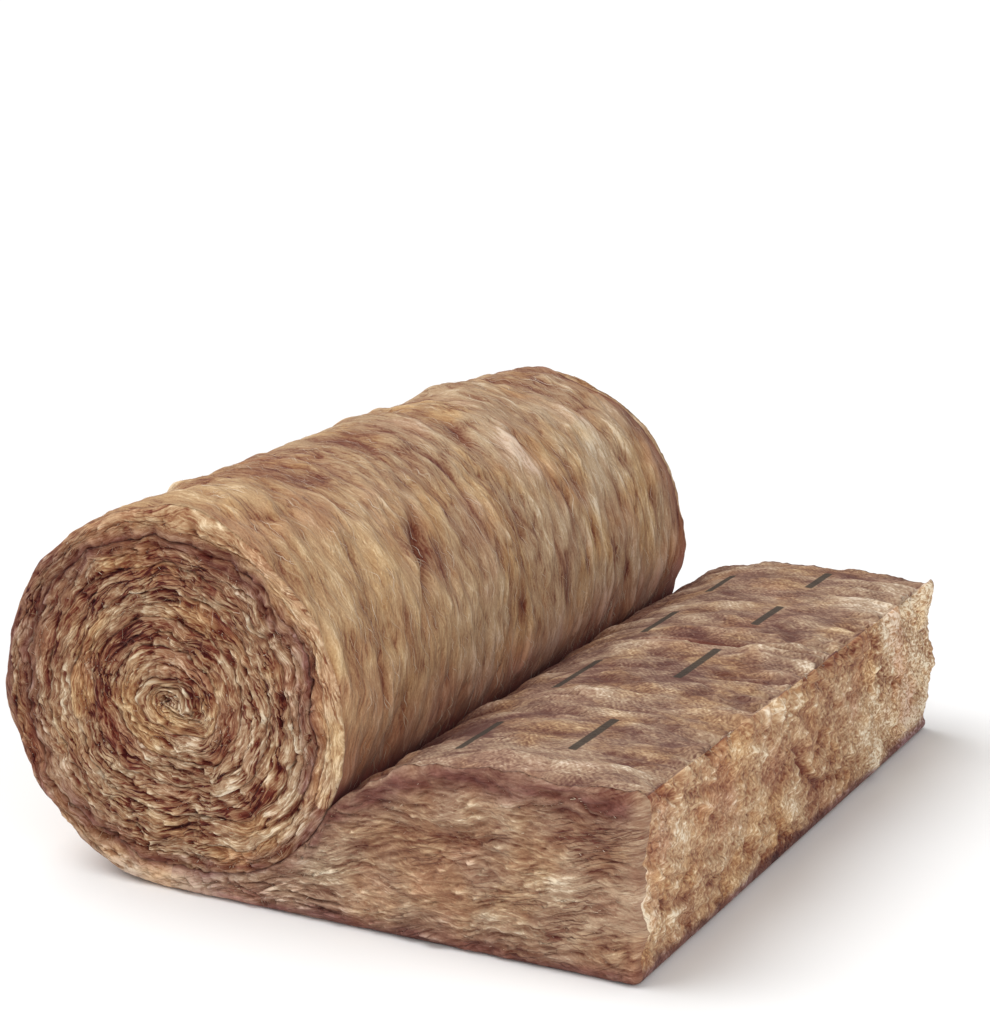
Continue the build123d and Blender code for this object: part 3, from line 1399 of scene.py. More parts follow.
    def ink(self, x: Array, y: Array, reach: float = 1.0) -> Array:
        """How far inside a printed stroke each point is.

        Args:
            x: places along the mat.
            y: places across it.
            reach: the largest distance that is told apart, in centimetres.

        Returns:
            The distance from the nearest stroke's outline in centimetres, below 0 outside the strokes.
        """
        inside = np.full(x.shape, -reach)
        for middle, start, end in self.strokes:
            over = np.minimum(0.5 * self.stroke_width - np.abs(x - middle), np.minimum(y - start, end - y))
            inside = np.maximum(inside, 100.0 * over)
        return np.minimum(inside, reach)

    def cues(self, x: Array, side: Array, z: Array, light: Array, cut: Array) -> tuple[Cues, Cues]:
        """What the finishes of the tail's top and of its cut end read.

        Args:
            x: places along the mat.
            side: places across it.
            z: heights above the floor.
            light: how light the skin is.
            cut: how much of it is cut end.

        Returns:
            The cues of the top, and those of the cut end.
        """
        from_nip = x - self.section.nip[0]
        patches = self.patches.read(self.folds, x, side)
        # painted shade in the crease dents and in the nip
        dented = np.clip(self.dent_crease_shade * pushed(self.top_dents, x, side)[0], 0.0, self.dent_crease_shade_most)
        pit = self.nip_painted_shade.at(from_nip) + self.nip_painted_shade_wide.at(from_nip) + dented
        hem = self.skin_hem.at(np.abs(side) - self.section.half_width) * self.skin_patches.at(patches)
        # the skin's own tint at the hems, with painted shade by the nip
        skin = self.nip_shade_tint.at(from_nip + self.nip_shade_tint_stray * patches) + hem
        top = {"relief": light, "coarse": cut, "pit": unit(pit), "skin": unit(skin), "ink": self.ink(x, side)}
        foot = self.skin_foot.at(z + self.skin_foot_stray * patches)
        coarse = self.coarse + self.coarse_back.at(side)
        return top, {"relief": light, "coarse": coarse, "pit": np.zeros_like(light), "skin": foot}

    def sheets(self) -> tuple[Sheet, Sheet]:
        """The skin on top of the tail, and the cut end, which meet at the lip between them."""
        reach = self.section.half_width - self.section.edge
        across = np.linspace(-reach, reach, int(2.0 * reach / self.across_step) + 1)
        points, light, cut = self.lifted(across)
        x, side, z = self.stations(across)
        run = np.broadcast_to(self.loop_run[None], x.shape)
        top_cues, end_cues = self.cues(x, side, z, light, cut)
        top_flow, end_flow = stacked(run, side - self.slant * x, 0.0), stacked(side, run, 0.0)
        lip = self.z.shape[0] - 1
        top, end = np.s_[:, lip:], np.s_[:, : lip + 1]
        parts = (("tail_skin", top_flow, top_cues, top), ("cut_end", end_flow, end_cues, end))
        return tuple(
            Sheet(name, points[part], flow[part], {key: cue[part] for key, cue in cues.items()})
            for name, flow, cues, part in parts
        )


class Side(Enum):
    """Which end of the roll's axis a surface is on."""

    FRONT = -1.0
    BACK = 1.0


@dataclass(frozen=True)
class Strip:
    """The wound turns laid out as one strip, with rows through the mat and columns along it.

    The turn counts from the outermost, the run is the distance from the cut end, and the distance through
    the mat is from its outer side. The columns before the start belong to the outermost turn.
    """

    turn: Array
    run: Array
    through: Array
    loft: Array
    x: Array
    z: Array
    start: int

    def outermost(self, value: Array) -> Array:
        """The value on the outermost turn, and 0 on the others."""
        return np.where(self.turn == 0, value, 0.0)


@dataclass
class MatEdge:
    """One long edge of the mat: a side of the tail, and the spiral on the same end of the roll.

    Fades and bands are distances from a seam, from the cut end, from the nip or from the roll's axis, or
    heights above the floor.
    """

    section: Section
    roll: RollSkin
    tail: TailGrid
    side: Side
    spacing: float = 0.0029
    rows: int = 20
    skirt: float = 0.030
    side_kind: Relief = Relief((
        Layer(Form.SWELL, 0.13, 0.10, 0.0050, 0.10, 0.3, 2),
        Layer(Form.PUFF, 0.075, 0.0185, 0.0105, 0.40, 1.1, 3, 0.12),
        Layer(Form.PUFF, 0.032, 0.0085, 0.0044, 0.28, 0.9, 2, 0.20),
        Layer(Form.SWELL, 0.11, 0.045, 0.0010, 0.20, 0.9, 3),
        Layer(Form.CRACK, 0.095, 0.0190, 0.0034, 0.28, 1.0, 2, 0.08),
        Layer(Form.PIT, 0.090, 0.0260, 0.0050, 0.26, 1.0, 3, 0.15),
        Layer(Form.TUFT, 0.045, 0.0115, 0.0080, 0.38, 0.9, 3, 0.32),
    ))
    kind: Relief = Relief((
        Layer(Form.SWELL, 0.11, 0.09, 0.0045, 0.10, 0.3, 2),
        Layer(Form.PUFF, 0.040, 0.0140, 0.0095, 0.40, 1.3, 3, 0.10),
        Layer(Form.PUFF, 0.020, 0.0070, 0.0046, 0.36, 1.1, 2, -0.20),
        Layer(Form.CRACK, 0.085, 0.0130, 0.0050, 0.44, 1.3, 2, 0.05),
        Layer(Form.PIT, 0.065, 0.0200, 0.0110, 0.60, 1.2, 3),
        Layer(Form.TUFT, 0.034, 0.0110, 0.0060, 0.56, 1.2, 3, 0.15),
    ))
    kind_slice: float = 3.0
    side_kind_slice: float = 30.0
    flow_slice: float = 0.7
    stray_lumps: float = 0.085
    stray_fine: float = 0.028
    stray_shift: float = 31.7
    stray_fine_share: float = 0.40
    stray_reach: float = 0.0110
    stray_inside: Fade = Fade(0.0, 0.035)
    stray_from_nip: Fade = Fade(0.0, 0.08)
    crush: float = 0.14
    bends: Streaks = Streaks(0.14, 0.11, 71.0)
    bend_reach: float = 0.016
    waves: Streaks = Streaks(0.35, 1.0, 0.0)
    wave_slice: float = 5.0
    wave_height: float = 0.004
    presses: Streaks = Streaks(0.05, 1.0, 21.0)
    press: float = 0.18
    press_swing: float = 0.42
    press_range: tuple[float, float] = (0.02, 0.9)
    next_turn: float = 2.0
    tears: Streaks = Streaks(0.07, 0.012, 51.0, 3, crimp=0.8)
    tear: float = 0.62
    tear_swing: float = 0.75
    untorn: float = 0.35
    foot_rags: Streaks = Streaks(0.05, 1.0, 67.0)
    foot_width: float = 0.022
    foot_swing: float = 0.016
    foot_share: float = 1.5
    # painted light at the roll's foot, where real shade falls near the floor
    painted_light_at_foot: Band = Band(0.0, 0.26, 0.38)
    painted_light_foot_height: Fade = Fade(0.12, 0.03)
    under_nip: Fade = Fade(0.0, 0.04)
    floor_grip: float = 0.8
    free_of_cut: Fade = Fade(-0.010, 0.050)
    # painted shade along the seam where the tail's side meets the next turn under the roll
    crease: Band = Band(0.0, 0.0035, 0.75)
    seam_shade_start: Fade = Fade(-0.02, 0.0)
    at_seam: Fade = Fade(0.0, 0.16)
    band_waves: Streaks = Streaks(0.11, 1.0, 61.0)
    band_deep: float = 0.016
    band_swing: float = 0.012
    wide_band: Band = Band(0.0, 0.021, 1.25)
    wide_start: Fade = Fade(0.0, 0.03)
    wide_under: float = 0.6
    narrow_band: Band = Band(0.002, 0.011)
    narrow_share: float = 1.125
    foot_plain: float = 0.45
    corner: Fade = Fade(0.060, 0.010)
    corner_light: float = 0.72
    corner_share: float = 0.55
    # painted light under the roll and low on the tail's side, where real shade falls
    painted_light_under_roll: float = 0.07
    painted_light_low: Band = Band(0.075, 0.045, 0.06)
    soft_band: float = 0.64
    soft_corner: float = 0.6
    soft_under: float = 0.45
    golden_way: tuple[float, float] = (0.6, 0.8)
    golden_upper: Fade = Fade(0.02, 0.16)
    golden_outer: Fade = Fade(0.042, 0.024)
    golden_calm: float = 0.2
    golden_light: float = 0.80
    golden_share: float = 0.46
    golden_warm: float = 0.5
    golden_soft: float = 0.30
    skinned_run: float = 0.04
    # painted shade in the seams between turns on the roll's end
    turn_seam_shade: Band = Band(0.0, 0.0028, 1.3)
    first_seam_shade: float = 0.45
    seam_band: Band = Band(0.006, 0.017)
    band_skin: float = 1.15
    band_light: float = 0.50
    band_share: float = 0.25
    band_soft: float = 0.45
    outline_left: Fade = Fade(0.08, 0.22)
    outline_height: Fade = Fade(0.03, 0.10)
    outline: Fade = Fade(0.036, 0.008, 1.1)
    foot_height: Fade = Fade(0.20, 0.05, 0.45)
    upper_shade: float = 0.07
    upper_reach: float = 0.18
    right_side: Fade = Fade(0.10, 0.20, 0.09)
    right_height: Fade = Fade(0.05, 0.15)
    rings: tuple[Band, ...] = (Band(0.188, 0.014, 0.13), Band(0.106, 0.017, 0.20))
    ring_patches: Streaks = Streaks(0.09, 0.09, 91.0)
    ring_swing: float = 1.2
    core: Fade = Fade(0.055, 0.02, 0.12)
    floor_soft: Fade = Fade(0.12, 0.04, 0.45)

    def __post_init__(self) -> None:
        """Seeds the edge's own noise, and works out the stations of the tail's side.

        The run is the distance from the cut end, the loft is the mat's thickness, and under is how much of
        each point is under the roll.
        """
        self.layers = Noise(41 if self.side is Side.FRONT else 59)
        self.wander = Noise(83)
        self.outward = np.array([0.0, self.side.value, 0.0])
        self.border_y = self.side.value * (self.section.half_width - self.section.edge)
        self.tail_run = self.section.cut_x - self.tail.x
        self.tail_loft = np.broadcast_to(self.tail.heights[None], self.tail.z.shape)
        self.under = self.under_nip.at(self.section.nip[0] - self.tail.x)

    def strayed(self, x: Array, z: Array) -> tuple[Array, Array]:
        """Moves the seams off their ideal spiral, alike on both sides of each seam.

        Args:
            x: places in the section.
            z: their heights.

        Returns:
            The moved places and heights.
        """
        section, wander = self.section, self.wander
        from_axis = np.hypot(x - section.axis_x, z - section.axis_z)
        from_nip = np.hypot(x - section.nip[0], z - section.nip[1])
        free = self.stray_inside.at(section.radius - from_axis) * self.stray_from_nip.at(from_nip)
        here = stacked(x / self.stray_lumps, z / self.stray_lumps, self.side.value)
        fine = stacked(x / self.stray_fine, z / self.stray_fine, self.kind_slice * self.side.value)
        shift_x, shift_z = (
            wander.layered(here + shift, 2) + self.stray_fine_share * wander.plain(fine + shift)
            for shift in (0.0, self.stray_shift)
        )
        return x + self.stray_reach * free * shift_x, z + self.stray_reach * free * shift_z

    def tufts(self, run: Array, through: Array, loft: Array) -> tuple[Array, Array, Array]:
        """The ruffled layers of cut fibre.

        Args:
            run: the distance along the mat.
            through: the distance from the mat's underside.
            loft: the mat's thickness there.

        Returns:
            How far the layers stand out, how light they are, and the stretched distance through the mat.
        """
        sign = self.side.value
        deep = through * (self.section.thickness / loft) ** self.crush
        deep = deep + self.bend_reach * self.bends.read(self.layers, run, deep)
        height, light = self.kind.read(self.layers, run, deep, self.kind_slice * sign)
        flat = smooth_step(loft, self.section.turn, 0.5 * self.section.thickness)
        if np.any(flat > 0.0):
            soft_height, soft_light = self.side_kind.read(self.layers, run, deep, self.side_kind_slice + sign)
            height, light = height + flat * (soft_height - height), light + flat * (soft_light - light)
        wave = self.waves.read(self.wander, run, part=self.wave_slice * sign)
        return height + self.wave_height * wave, light, deep

    def pressed(self, run: Array) -> Array:
        """How deep a seam is pressed, from 0 to 1, which changes along it."""
        return np.clip(self.press + self.press_swing * self.presses.read(self.wander, run), *self.press_range)

    def left(self, run: Array, deep: Array) -> Array:
        """How much of the skin's colour is left where it is torn, from 0 to 1."""
        return np.clip(self.tear + self.tear_swing * self.tears.read(self.wander, run, deep), 0.0, 1.0)

    def faint(self, run: Array, deep: Array) -> Array:
        """The same where the skin is never torn right through."""
        return self.untorn + (1.0 - self.untorn) * self.left(run, deep)

    def foot(self, run: Array, through: Array, deep: Array) -> Array:
        """How strongly the skin's colour shows on the edge of the mat's underside, from 0 to about 1.5."""
        width = self.foot_width + self.foot_swing * np.maximum(self.foot_rags.read(self.wander, run), 0.0)
        return self.foot_share * self.faint(run, deep) * bump(through, 0.0, width)

    def below(self, x: Array, z: Array) -> Array:
        """Painted light at the roll's foot, where real shade falls near the floor, alike on the tail's side
        and on the spiral.
        """
        return self.painted_light_at_foot.at(x - self.section.axis_x) * self.painted_light_foot_height.at(z)

    def placed(self, x: Array, z: Array, drop: Array, push: Array) -> Array:
        """The edge's points, stepped back by the drop and moved by the push, none below the floor."""
        points = stacked(x, self.side.value * (self.section.half_width - drop), z) + push
        return np.maximum(points, (-np.inf, -np.inf, 0.0))

    def named(self, name: str, points: Array, run: Array, deep: Array, cues: Cues) -> Sheet:
        """A sheet on this side, whose flow runs along the mat and through it."""
        flow = stacked(run, deep, self.side.value * self.flow_slice)
        return Sheet(f"{name}_{self.side.name.lower()}", points, flow, cues)

    def tail_push(self, height: Array) -> Array:
        """How far the wool moves each point of the tail's side, with its skin's borders left whole.

        Args:
            height: how far the layers stand out.

        Returns:
            A move for each point.
        """
        tail, section = self.tail, self.section
        rows, nip = tail.z.shape[0], tail.nip_column
        skin_points = tail.lifted(np.array([self.border_y]))[0][0]
        moved = skin_points - stacked(tail.loop[:, 0], self.border_y, tail.loop[:, 1])
        cut_push, top_push = moved[:rows], np.zeros((tail.z.shape[1], 3))
        top_push[: nip + 1] = moved[rows - 1 :]
        near_top = (1.0 - smooth_step(self.tail_loft - tail.z, 0.0, section.edge)) * (1.0 - self.under)
        near_cut = 1.0 - smooth_step(self.tail_run, 0.0, section.edge)
        near_floor = 1.0 - smooth_step(tail.z, 0.0, section.edge)
        weight = np.maximum(near_top + near_cut, 1.0)[..., None]
        push = (near_top[..., None] * top_push[None] + near_cut[..., None] * cut_push[:, None]) / weight
        free = (1.0 - np.maximum(near_top, near_cut)) * (1.0 - self.floor_grip * near_floor)
        free = free * self.free_of_cut.at(self.tail_run)
        push = push + (free * height)[..., None] * self.outward
        push[:, 0] = cut_push
        push[-1, : nip + 1] = top_push[: nip + 1]
        return push

    def tail_cues(self, deep: Array, light: Array) -> Cues:
        """What the finish of the tail's side reads.

        Args:
            deep: the stretched distance through the mat.
            light: how light the layers are.

        Returns:
            Each cue by its name.
        """
        tail, section, run = self.tail, self.section, self.tail_run
        from_top = self.tail_loft - tail.z
        # painted shade along the seam under the roll
        pit = self.crease.at(from_top) * self.seam_shade_start.at(section.nip[0] - tail.x)
        at_seam = self.at_seam.at(tail.x - section.axis_x)
        wavy = self.band_deep + self.band_swing * self.band_waves.read(self.wander, run)
        wide = self.wide_band.at(from_top - wavy) * self.wide_start.at(run)
        narrow = self.narrow_share * self.narrow_band.at(from_top)
        band = at_seam * (1.0 - self.wide_under * self.under) * wide + (1.0 - at_seam) * narrow
        foot = self.foot(run, tail.z, deep) * (self.foot_plain + (1.0 - self.foot_plain) * at_seam)
        corner = self.corner.at(run) * tail.corner_foot.at(tail.z) * tail.corner_top.at(tail.z)
        # painted light at the roll's foot here, and on the next line under the roll and low on the side
        light = light + corner * (self.corner_light - light) * self.corner_share + self.below(tail.x, tail.z)
        light = light + self.painted_light_under_roll * (1.0 - at_seam) + self.painted_light_low.at(tail.z)
        soft = self.soft_band * at_seam * band + self.soft_corner * corner + self.soft_under * (1.0 - at_seam)
        skin = unit(self.faint(run, deep) * band + foot)
        return {"relief": light, "pit": pit, "skin": skin, "soft": unit(soft)}

    def tail_sheet(self) -> Sheet:
        """The side of the tail, from the cut end to below the roll's axis."""
        tail, section, run = self.tail, self.section, self.tail_run
        height, light, deep = self.tufts(run, tail.z, self.tail_loft)
        drop = section.sag(np.where(tail.to_top > 0.0, 0.0, tail.nearness))
        seam_drop = section.sag(tail.to_top) * (1.0 - self.under * (1.0 - self.pressed(run)))
        drop = np.maximum(drop, np.where(tail.x > section.nip[0], section.sag(tail.nearness), seam_drop))
        points = self.placed(*self.strayed(tail.x, tail.z), drop, self.tail_push(height))
        sheet = self.named("tail_side", points, run, deep, self.tail_cues(deep, light))
        return self.skirted(sheet, last=tail.x[0] < section.nip[0])

    def strip(self) -> Strip:
        """Lays out the wound turns, from the floor to the core."""
        section = self.section
        laps = [(self.roll.line, section.lap(0, self.roll.spacing)[1])]
        laps += [section.lap(number, self.spacing) for number in range(1, section.turns + 1)]
        outer = np.concatenate([lap[0] for lap in laps])
        inner = np.concatenate([lap[1] for lap in laps])
        turn = np.concatenate([np.full(len(lap[0]), number) for number, lap in enumerate(laps)])
        steps = np.linalg.norm(np.diff(0.5 * (outer + inner), axis=0), axis=1)
        run = section.cut_x - section.axis_x + np.concatenate([[0.0], np.cumsum(steps)])
        loft = np.linalg.norm(inner - outer, axis=1)
        lengths, shares = section.rounded_rows(self.rows)
        through = lengths[:, None] + shares[:, None] * (loft[None] - 2.0 * section.edge)
        spot = outer[None] + (through / loft[None])[..., None] * (inner - outer)[None]
        turn, run, loft = (np.broadcast_to(value[None], through.shape) for value in (turn, run, loft))
        x, z = self.strayed(spot[..., 0], spot[..., 1])
        return Strip(turn, run, through, loft, x, z, len(self.roll.line))

    def spiral_push(self, strip: Strip, height: Array, skinned: Array) -> Array:
        """How far the wool moves each point of the spiral, with the roll's skin left whole.

        Args:
            strip: the turns.
            height: how far the layers stand out.
            skinned: how much of each point's outer side is the roll's skin.

        Returns:
            A move for each point.
        """
        line = self.roll.line
        near_outer = (1.0 - smooth_step(strip.through, 0.0, self.section.edge)) * skinned
        moved = np.zeros((strip.x.shape[1], 3))
        moved[: strip.start] = self.roll.lifted(np.array([self.border_y]))[0][0]
        moved[: strip.start] -= stacked(line[:, 0], self.border_y, line[:, 1])
        return near_outer[..., None] * moved[None] + ((1.0 - near_outer) * height)[..., None] * self.outward

    def golden(self, strip: Strip) -> Array:
        """How much of each point is the pale outer layer, high on the outermost turn."""
        way_x, way_z = self.golden_way
        upper = way_x * (strip.x - self.section.axis_x) + way_z * (strip.z - self.section.axis_z)
        return strip.outermost(self.golden_upper.at(upper) * self.golden_outer.at(strip.through))

    def spiral_light(self, strip: Strip, light: Array, golden: Array, band: Array) -> Array:
        """How light the spiral is, with its lit and shaded parts.

        Args:
            strip: the turns.
            light: how light the layers are.
            golden: how much of each point is the pale outer layer.
            band: how near each point is to the first seam, from 0 to 1.

        Returns:
            The lightness, from about 0 to 1.
        """
        section, x, z = self.section, strip.x, strip.z
        light = light + golden * (self.golden_light - light) * self.golden_share
        # painted light at the roll's foot
        light = light + strip.outermost(self.below(x, z))
        light = light - self.upper_shade * np.clip((z - section.axis_z) / self.upper_reach, -1.0, 1.0)
        light = light + self.right_side.at(x - section.axis_x) * self.right_height.at(z)
        from_axis = np.hypot(x - section.axis_x, z - section.axis_z)
        patchy = np.maximum(1.0 + self.ring_swing * self.ring_patches.read(self.wander, x, z), 0.0)
        light = light - sum(ring.at(from_axis) for ring in self.rings) * patchy + self.core.at(from_axis)
        return light + self.band_share * band * (self.band_light - light)

    def spiral_skin(self, strip: Strip, deep: Array, band: Array) -> Array:
        """How strongly the skin's colour shows on the spiral.

        Args:
            strip: the turns.
            deep: the stretched distance through the mat.
            band: how near each point is to the first seam.

        Returns:
            Numbers from 0 to 1.
        """
        far_round = self.outline_left.at(self.section.axis_x - strip.x) * self.outline_height.at(strip.z)
        outline = strip.outermost(far_round * self.outline.at(strip.through))
        foot = strip.outermost(self.foot(strip.run, strip.through, deep) * self.foot_height.at(strip.z))
        return unit(self.left(strip.run, deep) * (self.band_skin * band + outline) + foot)

    def spiral_sheet(self) -> Sheet:
        """The wound turns on the roll's end, as one strip from the floor to the core."""
        section, strip = self.section, self.strip()
        height, light, deep = self.tufts(strip.run, strip.through, strip.loft)
        golden = self.golden(strip)
        skin_end = strip.run[0, strip.start]
        skinned = 1.0 - smooth_step(strip.run, skin_end, skin_end + self.skinned_run)
        push = self.spiral_push(strip, height * (1.0 - self.golden_calm * golden), skinned)
        outer_press, inner_press = self.pressed(strip.run), self.pressed(strip.run + self.next_turn)
        to_outer, to_inner = strip.through, strip.loft - strip.through
        outer_drop = section.sag(1.0 - to_outer / section.edge) * (skinned + (1.0 - skinned) * outer_press)
        inner_drop = section.sag(1.0 - to_inner / section.edge) * inner_press
        points = self.placed(strip.x, strip.z, np.maximum(outer_drop, inner_drop), push)
        # painted shade in the seams between turns
        crease = self.turn_seam_shade.at(to_outer) * (1.0 - skinned) * outer_press
        inner_share = np.where(strip.turn == 0, self.first_seam_shade, inner_press)
        crease = crease + self.turn_seam_shade.at(to_inner) * inner_share
        band = strip.outermost(self.narrow_band.at(to_inner))
        band = band + np.where(strip.turn == 1, self.seam_band.at(to_outer), 0.0)
        soft = self.golden_soft * golden + self.band_soft * band
        soft = soft + strip.outermost(self.floor_soft.at(strip.z))
        cues = {
            "relief": self.spiral_light(strip, light, golden, band),
            "pit": unit(crease),
            "skin": self.spiral_skin(strip, deep, band),
            "warm": self.golden_warm * golden,
            "soft": unit(soft),
        }
        sheet = self.named("roll_end", points, strip.run, deep, cues)
        columns = np.arange(strip.x.shape[1])
        return self.skirted(sheet, first=columns >= strip.start, last=columns >= 0)

    def skirted(self, sheet: Sheet, last: Array, first: Array | None = None) -> Sheet:
        """Closes the seams of a sheet behind its edges.

        Args:
            sheet: the sheet, with rows across the mat's thickness.
            last: which columns get a skirt past the last row.
            first: which get one before the first row, if any do.

        Returns:
            The sheet with a row more at one or both of its edges.
        """
        rows = [slice(None), slice(-1, None)]
        rows = rows if first is None else [slice(0, 1), *rows]
        points, flow = (np.concatenate([grid[row] for row in rows]) for grid in (sheet.points, sheet.flow))
        cues = {name: np.concatenate([grid[row] for row in rows]) for name, grid in sheet.cues.items()}
        points[-1, last, 1] -= self.side.value * self.skirt
        if first is not None:
            points[0, first, 1] -= self.side.value * self.skirt
        return Sheet(sheet.name, points, flow, cues)


@dataclass(frozen=True)
class Face:
    """A sheet with the way that it faces and the finish that it wears."""

    sheet: Sheet
    outward: float
    surface: Surface


@dataclass
class LooseFibres:
    """Thin ribbons that lie on a sheet and follow it.

    Lengths are metres. The range of places is a share of the sheet's rows and of its columns.
    """

    name: str
    face: Face
    count: int
    seed: int
    length: float = 0.022
    width: float = 0.0007
    curl: float = 0.003
    lift: float = 0.002
    rows: tuple[float, float] = (0.02, 0.98)
    columns: tuple[float, float] = (0.0, 1.0)
    light: float = 0.65
    light_spread: float = 0.22
    joints: int = 7
    size_spread: float = 0.35
    lean_spread: float = 0.22
    waves: tuple[float, float] = (0.4, 1.3)
    drift: float = 2.0
    lifts: tuple[float, float] = (0.3, 1.4)
    clearance: float = 0.0002
    thin_end: float = 0.25
    floor_gap: float = 0.0005
    least_step: float = 5e-4

    def read(self, grid: Array, row: Array, column: Array) -> Array:
        """Reads a grid between its points.

        Args:
            grid: values with rows and columns.
            row: where to read, in rows.
            column: where to read, in columns.

        Returns:
            The blended values.
        """
        last_row, last_column = grid.shape[0] - 1.001, grid.shape[1] - 1.001
        row, column = np.clip(row, 0.0, last_row), np.clip(column, 0.0, last_column)
        r, c = row.astype(int), column.astype(int)
        a, b = (row - r)[..., None], (column - c)[..., None]
        low = grid[r, c] * (1 - b) + grid[r, c + 1] * b
        high = grid[r + 1, c] * (1 - b) + grid[r + 1, c + 1] * b
        return low * (1 - a) + high * a

    def steps(self, points: Array, axis: int, row: Array, column: Array) -> Array:
        """The distance from one row or column of the sheet to the next, where each fibre lies."""
        spacing = np.linalg.norm(np.gradient(points, axis=axis), axis=-1)[..., None]
        return np.maximum(self.read(spacing, row, column), self.least_step)

    def ribbons(self, line: Array, normal: Array, half: Array) -> Array:
        """Gives each fibre its width.

        Args:
            line: the points along each fibre.
            normal: which way is out at each of them.
            half: half of the fibre's width there.

        Returns:
            Two points for each joint of each fibre.
        """
        aside = np.cross(normal, np.gradient(line, axis=1))
        aside /= np.maximum(np.linalg.norm(aside, axis=-1, keepdims=True), 1e-9)
        both = np.stack([line - aside * half[..., None], line + aside * half[..., None]], axis=2)
        both[..., 2] = np.maximum(both[..., 2], self.floor_gap)
        return both.reshape(-1, 3)

    def build(self) -> Object:
        """Scatters the ribbons and joins them in one mesh.

        Returns:
            The object, linked to the scene.
        """
        source = np.random.default_rng(self.seed)
        points, normals = self.face.sheet.points, self.face.sheet.normals(self.face.outward)
        height, width = points.shape[0] - 1, points.shape[1] - 1
        row = source.uniform(self.rows[0] * height, self.rows[1] * height, self.count)
        column = source.uniform(self.columns[0] * width, self.columns[1] * width, self.count)
        size = source.lognormal(0.0, self.size_spread, self.count)[:, None]
        share = np.linspace(0.0, 1.0, self.joints)[None]
        each = (self.count, 1)
        phase, waves = source.uniform(0, 2 * math.pi, each), source.uniform(*self.waves, each)
        along = self.length * size * (share - 0.5)
        lean = source.normal(0.0, self.lean_spread, each)
        drift = self.drift * source.normal(0.0, 1.0, each) * (share - 0.5) ** 2
        aside = lean * along + self.curl * (np.sin(2 * math.pi * waves * share + phase) + drift)
        rows = row[:, None] + aside / self.steps(points, 0, row, column)
        columns = column[:, None] + along / self.steps(points, 1, row, column)
        bow = np.sin(math.pi * share)
        lift = self.lift * bow * source.uniform(*self.lifts, each) + self.clearance
        normal = self.read(normals, rows, columns)
        line = self.read(points, rows, columns) + normal * lift[..., None]
        half = 0.5 * self.width * np.sqrt(size) * (self.thin_end + (1.0 - self.thin_end) * bow)
        index = np.arange(self.count * self.joints * 2).reshape(self.count, self.joints, 2)
        quads = np.stack([index[:, :-1, 0], index[:, 1:, 0], index[:, 1:, 1], index[:, :-1, 1]], axis=-1)
        piece = mesh_object(self.name, self.ribbons(line, normal, half), quads.reshape(-1, 4))
        shade = np.clip(source.normal(self.light, self.light_spread, self.count), 0.0, 1.0)
        write_numbers(piece, "shade", np.repeat(shade, self.joints * 2))
        return piece


@dataclass
class Underside:
    """The flat bottom of the tail, which rests on the floor."""

    section: Section
    tail: TailGrid
    rows: int = 12
    light: float = 0.45
    skin: float = 0.90

    def sheet(self) -> Sheet:
        """The bottom as one sheet."""
        reach = self.section.half_width - self.section.edge
        across = np.linspace(-reach, reach, self.rows)
        x, side = np.broadcast_arrays(self.tail.x[0][None], across[:, None])
        z = np.broadcast_to(self.tail.z[0][None], x.shape)
        shades = {"relief": self.light, "pit": 0.0, "skin": self.skin}
        cues = {name: np.full(x.shape, value) for name, value in shades.items()}
        return Sheet("underside", stacked(x, side, z), stacked(x, side, 0.0), cues)


